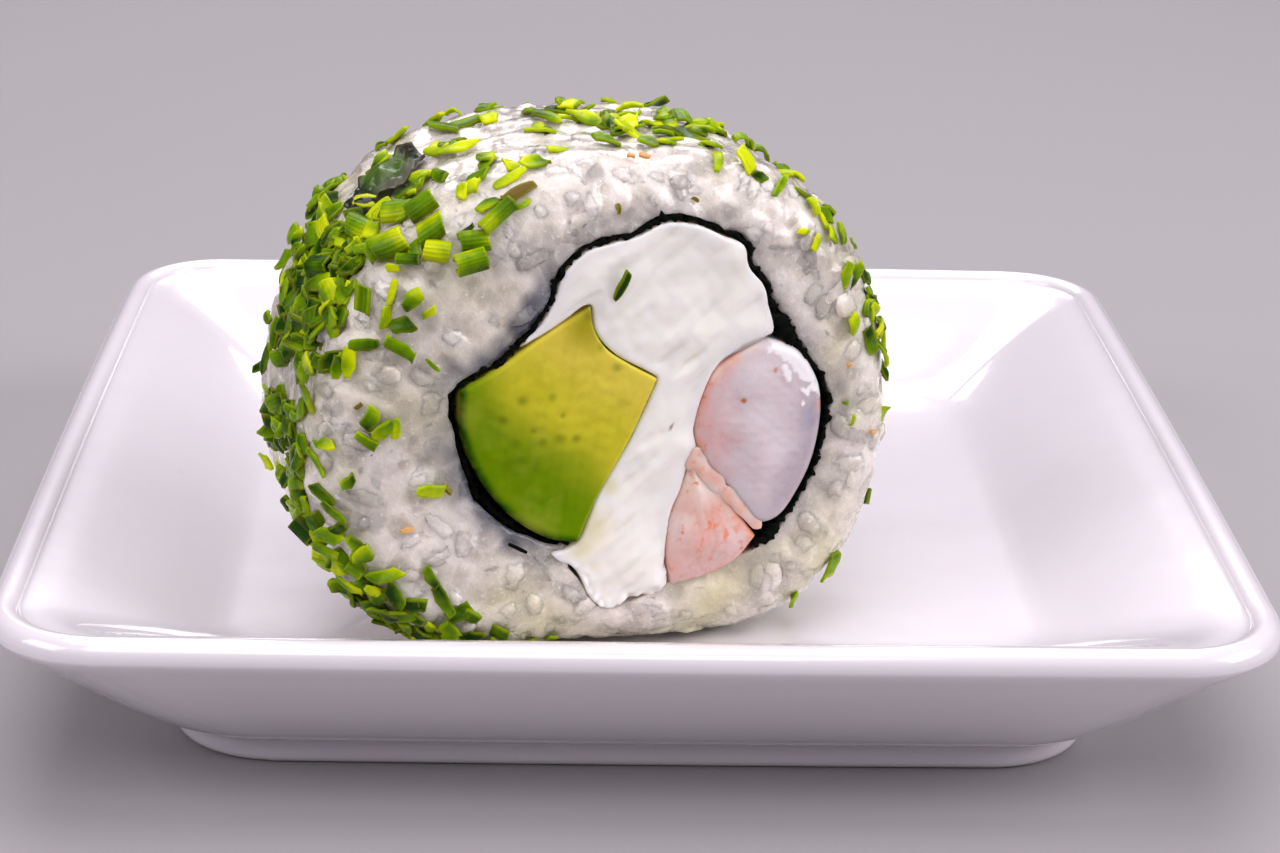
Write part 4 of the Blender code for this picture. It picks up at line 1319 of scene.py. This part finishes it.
def stems(seat, axes, length, radius, span, flip, corners, torn, slant, arch):
    """Bits of hollow stem: an arc of the given span carried along the length.

    Around, STEM_ARC points on the outer arc and as many back on the inner one; along, STEM_ROWS.
    Each side narrows to each end by the cube of the way to it times its corner's share, which
    gives leaf and shard shapes. torn takes more off each side row by row, slant shears the length
    along the width, arch lifts the middle, and flip turns the hollow side up.
    """
    count = len(length)
    share = np.linspace(-1, 1, STEM_ARC)
    along = np.array(STEM_ROWS)
    start, end = (1 - along) ** 3, along**3
    narrow = 1 - corners[:, :, :1] * start - corners[:, :, 1:] * end - torn
    sides = np.where(share < 0, narrow[:, 0, :, None], narrow[:, 1, :, None])
    half = (span / 2)[:, None, None] * sides * share
    outer, inner = radius[:, None, None], np.maximum(radius - STEM_WALL, 0.05)[:, None, None]
    lowest = np.cos(np.minimum(span / 2, math.pi))[:, None, None]
    arcs = []
    for reach, order in ((outer, 1), (inner, -1)):
        arc = np.stack([reach * np.sin(half), reach * np.cos(half) - outer * lowest], -1)
        arcs.append(arc[:, :, ::order])
    wide, high = np.moveaxis(np.concatenate(arcs, 2), -1, 0)
    high = np.where(flip[:, None, None] > 0, outer * (1 - lowest) - high, high)
    high = high + arch[:, None, None] * (1 - (2 * along - 1) ** 2)[:, None]
    x = (along[None, :, None] - 0.5) * length[:, None, None] + slant[:, None, None] * wide
    points = np.einsum("nrak,nkj->nraj", np.stack([x, wide, high], -1), axes) + seat[:, None, None, :]
    around = 2 * STEM_ARC
    i = np.arange(STEM_ARC - 1)
    first = np.stack([i, around - 1 - i, around - 2 - i, i + 1], -1)
    last = first[:, ::-1] + (len(along) - 1) * around
    quads = np.vstack([grid_faces(len(along), around, wrap=True), first, last])
    edge = np.zeros((count, len(along), around))
    edge[:, [0, -1]] = 1
    edge[:, :, [0, STEM_ARC - 1, STEM_ARC, around - 1]] = 1
    each = len(along) * around
    across = np.concatenate([share, share[::-1]])
    wrap = np.stack([across * (span * radius / 2)[:, None, None] + 0 * x, x], -1)
    breadth = (radius * np.sin(np.minimum(span, 3) / 2))[:, None, None]
    way = np.stack([x / length[:, None, None] * 2, wide / breadth], -1)
    return points.reshape(-1, 3), repeated(quads, count, each), edge.ravel(), wrap.reshape(-1, 2), way


def chive_finish(settings):
    material, tree = blank(
        "chive_cut", Roughness=0.34, IOR=1.42, Specular_IOR_Level=0.06, Subsurface_Weight=0.3,
        Subsurface_Scale=0.0006, Subsurface_Radius=(0.7, 1.0, 0.15), Coat_Weight=0.13, Coat_Roughness=0.06,
    )
    where = position(tree)
    tone = attribute(tree, "tone")
    mottle = noise(tree, where, 800.0, 3.0)
    shade = math_of(tree, "ADD", tone, ranged(tree, mottle, 0.3, 0.7, -0.15, 0.15))
    # tone carries painted light as well as colour: dark for pieces in shade, yellow for lit ones
    skin_tone = mixed(tree, ranged(tree, shade, 0.0, 0.5), settings.green, display(108, 148, 0))
    skin_tone = mixed(tree, ranged(tree, shade, 0.5, 1.0), skin_tone, settings.yellow)
    skin_tone = mixed(tree, ranged(tree, tone, -0.2, -0.5), skin_tone, display(108, 88, 30))
    wrap = put(tree, "UVMap", uv_map="wrap").outputs["UV"]
    ribs = put(tree, "TexWave", {"Vector": wrap, "Scale": 0.8, "Distortion": 0.8, "Detail": 1.0},
               bands_direction="X").outputs["Fac"]
    ribbed = attribute(tree, "ribbed")
    furrow = math_of(tree, "MULTIPLY", ranged(tree, ribs, 0.3, 1.0, 0.0, 0.12), ribbed)
    skin_tone = mixed(tree, furrow, skin_tone, (0.04, 0.10, 0.004))
    # Cut edges turn yellow green: partly their own paler flesh, partly a painted highlight where light
    # catches them
    rim = math_of(tree, "MULTIPLY", attribute(tree, "edge"), 0.2)
    skin_tone = mixed(tree, rim, skin_tone, settings.yellow)
    ridge, fine = math_of(tree, "MULTIPLY", ribs, ribbed), noise(tree, where, 2600.0, 2.0)
    return dressed(material, skin_tone, ranged(tree, mottle, 0.3, 0.7, 0.2, 0.42),
                   (ridge, 0.0001, 0.4), (fine, 0.00005, 0.5))


def crumb_finish():
    material, tree = blank(
        "orange_crumb", Roughness=0.4, Subsurface_Weight=0.4, Subsurface_Scale=0.0006,
    )
    cloud = noise(tree, position(tree), 1200.0, 3.0)
    tone = mixed(tree, ranged(tree, cloud, 0.35, 0.65), display(232, 188, 132), display(216, 166, 92))
    return dressed(material, tone, None, (cloud, 0.0001, 0.5))


SCRAP = (132.5, 15, 95, 6.8, 4.6)
SCRAP_CLEAR = 3.0  # chives scattered nearer to the scrap's middle than this are left out


def scrap_finish():
    material, tree = blank(
        "wilted_leaf", Roughness=0.3, IOR=1.42, Coat_Weight=0.25, Coat_Roughness=0.08,
        Subsurface_Weight=0.2, Subsurface_Scale=0.0005,
    )
    where = position(tree)
    cloud = noise(tree, where, 700.0, 4.0)
    stain = ranged(tree, cloud, 0.35, 0.65, 0.0, 0.3)
    base = mixed(tree, stain, attribute(tree, "tint", "Color"), (0.03, 0.05, 0.01))
    fine = noise(tree, where, 2600.0, 2.0)
    return dressed(material, base, None, (cloud, 0.0003, 0.7), (fine, 0.00005, 0.5))


def leaf_scrap():
    """A crinkled scrap of leaf lying on the roll: a grid turned in the surface, closed underneath.

    The grid's lines run along the scrap and across it, both from -1 to 1. It narrows to both ends
    by the square of the way, and stands off the outline by a curl at its edges and two ripples.
    """
    angle, run, turn, length, width = SCRAP
    along, aside = np.meshgrid(np.linspace(-1, 1, 48), np.linspace(-1, 1, 24), indexing="ij")
    flat = np.stack([along * length / 2, aside * width / 2 * (1 - 0.5 * along**2)], -1)
    flat[..., 1] += 0.35 * ripple(flat[..., :1], 3.0, 91)
    turn = math.radians(turn)
    onward = math.cos(turn) * flat[..., 0] - math.sin(turn) * flat[..., 1]
    rising = math.sin(turn) * flat[..., 0] + math.cos(turn) * flat[..., 1]
    seat, out = skin(math.radians(angle) + rising / ROLL_RADIUS, run + onward)
    curl = 0.5 * smooth(np.abs(aside), 0.5, 1.0) * (1 - along)
    high = 0.3 + 0.3 * (1 - aside) + 0.5 * curl + 0.24 * ripple(flat, 1.9, 92) + 0.1 * ripple(flat, 1.0, 93)
    top = seat + out * high[..., None]
    points, quads = between(top, top - out * 0.14, 1)
    tint = layers(
        display(72, 108, 16),
        (display(106, 108, 90), smooth(aside, -0.3, 0.4)),
        (display(38, 42, 30), smooth(-along, 0.55, 0.85)),
        (display(12, 20, 6), smooth(along, 0.15, 0.5)),
    ).reshape(-1, 3)
    ring = len(points) - 2 * len(tint)
    tint = np.vstack([tint, tint, np.broadcast_to(np.array(display(40, 52, 20)), (ring, 3))])
    piece("leaf_scrap", placed(points), quads, None, "chive", (), scrap_finish(), tint=tint)


def strewn(name, rows, kinds, rng, finish, slot, proud=0.0):
    """One piece of many chives: rows as in the lists above, and for each its kind.

    Kind 0 is a whole stem, 1 half a stem, 2 a leaf and 3 a flake. Darker ones lie deeper, and
    proud lifts them all off the rice's outline. Each piece's tone also gets a painted light
    gradient across it, darker on one side and lighter on the other.
    """
    rows, kinds = np.array(rows, float), np.array(kinds)
    count = len(rows)
    angle, run, turn, length, width, tone = rows.T
    seat, out = skin(np.radians(angle), run)
    span = np.choose(kinds, [rng.uniform(low, high, count) for low, high in KIND_SPANS])
    radius = width / 2 / np.sin(np.minimum(span, math.pi) / 2)
    tilt = np.choose(kinds, KIND_TILT)
    propped = FORWARD * smooth(-np.abs(angle - 172), -48, -28)
    facing = unit(out - propped[:, None] * np.array([0.0, 1.0, 0.0]))
    axes = frames(np.radians(angle), facing, np.radians(turn), rng.normal(0, 1, count) * tilt,
                  rng.normal(0, 1, count) * tilt)
    ragged = np.choose(kinds, KIND_RAGGED)[:, None, None]
    corners = np.clip(ragged * rng.uniform(0.2, 1.5, (count, 2, 2)), 0, 0.65)
    tearing = np.choose(kinds, KIND_TORN)[:, None, None]
    torn = tearing * rng.uniform(0, 1, (count, 2, len(STEM_ROWS)))
    slant = rng.normal(0, 0.35, count) * (kinds > 0)
    flip = (kinds > 0) & (rng.uniform(size=count) < 0.35)
    lift = (0.12 + 0.3 * propped) * (np.clip(tone, 0, 1) + rng.uniform(0, 0.8, count))
    arch = rng.normal(0.1, 0.12, count) * (kinds > 1)
    points, quads, edge, wrap, way = stems(
        seat + out * (lift + proud)[:, None], axes, length, radius, span, flip, corners, torn, slant, arch,
    )
    each = len(points) // count
    # Painted light: a random dark-to-light gradient across each piece, as if one side were lit
    slope = rng.normal(0, 0.22, (count, 1, 1, 2))
    shaded = tone[:, None, None] + (way * slope).sum(-1) * (tone >= 0)[:, None, None]
    ribbed = np.repeat((kinds < 2) | (rng.uniform(size=count) < 0.15), each)
    piece(name, placed(points), quads, None, slot, (), finish,
          edge=edge, ribbed=ribbed, wrap=wrap, tone=shaded.ravel())


class URAMAKI_OT_chives(Operator):
    """Make the chives, the leaf scrap and the bits of other colours on the roll"""

    bl_idname = "uramaki.chives"
    bl_label = "Chives"

    def execute(self, context):
        settings = context.scene.uramaki_chives
        finish = chive_finish(settings)
        rng = np.random.default_rng(settings.seed)
        lists = (WHOLE_STEMS, HALF_STEMS, LEAVES, FLAKES)
        rows = [row for group in lists for row in group]
        kinds = np.repeat(np.arange(4), [len(group) for group in lists])
        strewn("chives_front", rows, kinds, rng, finish, "chive")

        scattered = []
        for middle, start, round_spread, along_spread, count, mean, size in CHIVE_PATCHES + UNSEEN_PATCHES:
            count = int(count * settings.share)
            scattered.append(np.stack([
                rng.normal(middle, round_spread, count),
                np.clip(rng.normal(start, along_spread, count), 1, WHOLE_RUN),
                rng.uniform(0, 180, count),
                size * rng.uniform(*SCATTERED_SIZES, count),
                size * rng.uniform(*SCATTERED_SIZES, count),
                np.clip(rng.normal(mean, 0.3, count), 0, 1),
            ], -1))
        scattered = np.vstack(scattered)
        round_gap = np.radians(scattered[:, 0] - SCRAP[0]) * ROLL_RADIUS
        scattered = scattered[np.hypot(round_gap, scattered[:, 1] - SCRAP[1]) > SCRAP_CLEAR]
        kinds = rng.choice(4, len(scattered), p=KIND_SHARES)
        strewn("chives_scattered", scattered, kinds, rng, finish, "chive")

        leaf_scrap()
        strewn("chive_on_cheese", [CHEESE_LEAF], np.array([2]), rng, finish, "chive", 0.45)
        crumbs = [(*row, 0.5) for row in CRUMBS]
        strewn("orange_crumbs", crumbs, np.full(len(crumbs), 3), rng, crumb_finish(), "chive")
        dash = nori_finish(context.scene.uramaki_filling)
        strewn("nori_dash", [(*NORI_DASH, 0.0)], np.array([2]), rng, dash, "nori")
        return {"FINISHED"}


# ---- stage ----

CAMERA_PLACE = (-8.3, -255.4, 108.0)
CAMERA_DOWN = math.radians(19.89)
CAMERA_LEFT = math.radians(-2.13)
CAMERA_ROLL = math.radians(1.51)
LENS = 84.87
LAMP_COLOUR = (1.0, 0.945, 0.985)
LAMP_AIM = (0.0, -0.02, 0.02)
# Lamps: name, place, width, height, and power as a share of the key or the fill setting
LAMPS = (
    ("key_above", (0.0, 0.0, 0.52), 0.42, 0.36, 0.44, "key"),
    ("key_behind", (0.0, 0.45, 0.40), 0.42, 0.30, 0.53, "key"),
    ("fill_right", (0.50, -0.14, 0.30), 0.36, 0.32, 0.60, "fill"),
    ("fill_left", (-0.45, -0.25, 0.34), 0.36, 0.30, 0.34, "fill"),
    ("fill_front", (-0.08, -0.40, 0.52), 0.36, 0.30, 0.33, "fill"),
)
SKY_COLOUR = (0.94, 0.82, 0.98, 1.0)
SKY_STRENGTH = 0.18
FLOOR_HALF = 3.0


def set_at(thing, place, right, up, back):
    """Put an object in the scene at a place, turned to these axes."""
    turn = Matrix([(*row, 0.0) for row in np.stack([right, up, back], 1)] + [(0, 0, 0, 1)])
    bpy.context.scene.collection.objects.link(thing)
    thing.matrix_world = Matrix.Translation(place) @ turn


def soft_light(name, place, width, height, power):
    """A rectangular lamp at a place, facing LAMP_AIM."""
    data = bpy.data.lights.new(name, "AREA")
    data.shape = "RECTANGLE"
    data.size, data.size_y = width, height
    data.energy = power
    data.color = LAMP_COLOUR
    back = unit(np.array(place) - np.array(LAMP_AIM))
    right = unit(np.cross([0.0, 0.001, 1.0], back))
    set_at(bpy.data.objects.new(name, data), place, right, np.cross(back, right), back)


def plain_floor(colour):
    mesh = bpy.data.meshes.new("floor")
    corners = [(x * FLOOR_HALF, y * FLOOR_HALF, 0) for x, y in ((-1, -1), (1, -1), (1, 1), (-1, 1))]
    mesh.from_pydata(corners, [], [(0, 1, 2, 3)])
    floor = bpy.data.objects.new("floor", mesh)
    bpy.context.scene.collection.objects.link(floor)
    material, tree = blank("floor_matte", Roughness=0.85)
    cloud = noise(tree, position(tree), 8.0, 3.0)
    tone = mixed(tree, ranged(tree, cloud, 0.3, 0.7, 0.0, 0.2), colour, (0.34, 0.33, 0.34))
    mesh.materials.append(dressed(material, tone, None))


def surroundings():
    world = bpy.data.worlds.new("pale_surroundings")
    bpy.context.scene.world = world
    world.use_nodes = True
    sky = world.node_tree.nodes["Background"]
    sky.inputs["Color"].default_value = SKY_COLOUR
    sky.inputs["Strength"].default_value = SKY_STRENGTH


def photo_camera():
    """The camera of the photo, turned down, to the left and about its own axis by three angles."""
    data = bpy.data.cameras.new("camera")
    data.sensor_width = 36.0
    data.lens = LENS
    data.clip_start, data.clip_end = 0.01, 20.0
    camera = bpy.data.objects.new("camera", data)
    down, left, roll = CAMERA_DOWN, CAMERA_LEFT, CAMERA_ROLL
    ahead = np.array([-math.sin(left) * math.cos(down), math.cos(left) * math.cos(down), -math.sin(down)])
    level = np.array([math.cos(left), math.sin(left), 0.0])
    upright = np.cross(level, ahead)
    right = math.cos(roll) * level + math.sin(roll) * upright
    up = -math.sin(roll) * level + math.cos(roll) * upright
    set_at(camera, MM * np.array(CAMERA_PLACE), right, up, -ahead)
    bpy.context.scene.camera = camera


class URAMAKI_OT_stage(Operator):
    """Make the floor, the lights, the surroundings and the camera"""

    bl_idname = "uramaki.stage"
    bl_label = "Stage"

    def execute(self, context):
        settings = context.scene.uramaki_stage
        plain_floor(settings.floor)
        for name, place, width, height, share, setting in LAMPS:
            soft_light(name, place, width, height, share * getattr(settings, setting))
        surroundings()
        photo_camera()
        context.scene.view_settings.view_transform = "Standard"
        return {"FINISHED"}


class URAMAKI_PT_panel(Panel):
    """Lists the pieces of the roll and its dish"""

    bl_label = "Uramaki roll"
    bl_idname = "URAMAKI_PT_panel"
    bl_space_type = "VIEW_3D"
    bl_region_type = "UI"
    bl_category = "Uramaki"

    def draw(self, context):
        for group in SETTINGS:
            box = self.layout.box()
            for name in SETTINGS[group].__annotations__:
                box.prop(getattr(context.scene, group), name)
        for operator in OPERATORS:
            self.layout.operator(operator.bl_idname)


SETTINGS = {
    "uramaki_dish": DishSettings,
    "uramaki_rice": RiceSettings,
    "uramaki_filling": FillingSettings,
    "uramaki_chives": ChiveSettings,
    "uramaki_stage": StageSettings,
}
OPERATORS = (
    URAMAKI_OT_stage, URAMAKI_OT_dish, URAMAKI_OT_rice, URAMAKI_OT_nori, URAMAKI_OT_cheese,
    URAMAKI_OT_avocado, URAMAKI_OT_shrimp, URAMAKI_OT_chives,
)


def register():
    for group, kind in SETTINGS.items():
        bpy.utils.register_class(kind)
        setattr(bpy.types.Scene, group, PointerProperty(type=kind))
    for kind in (*OPERATORS, URAMAKI_PT_panel):
        bpy.utils.register_class(kind)


def unregister():
    for kind in (URAMAKI_PT_panel, *reversed(OPERATORS)):
        bpy.utils.unregister_class(kind)
    for group, kind in SETTINGS.items():
        delattr(bpy.types.Scene, group)
        bpy.utils.unregister_class(kind)


def main():
    register()
    bpy.ops.uramaki.stage()
    bpy.ops.uramaki.dish()
    bpy.ops.uramaki.rice()
    bpy.ops.uramaki.nori()
    bpy.ops.uramaki.cheese()
    bpy.ops.uramaki.avocado()
    bpy.ops.uramaki.shrimp()
    bpy.ops.uramaki.chives()


if __name__ == "__main__":
    main()
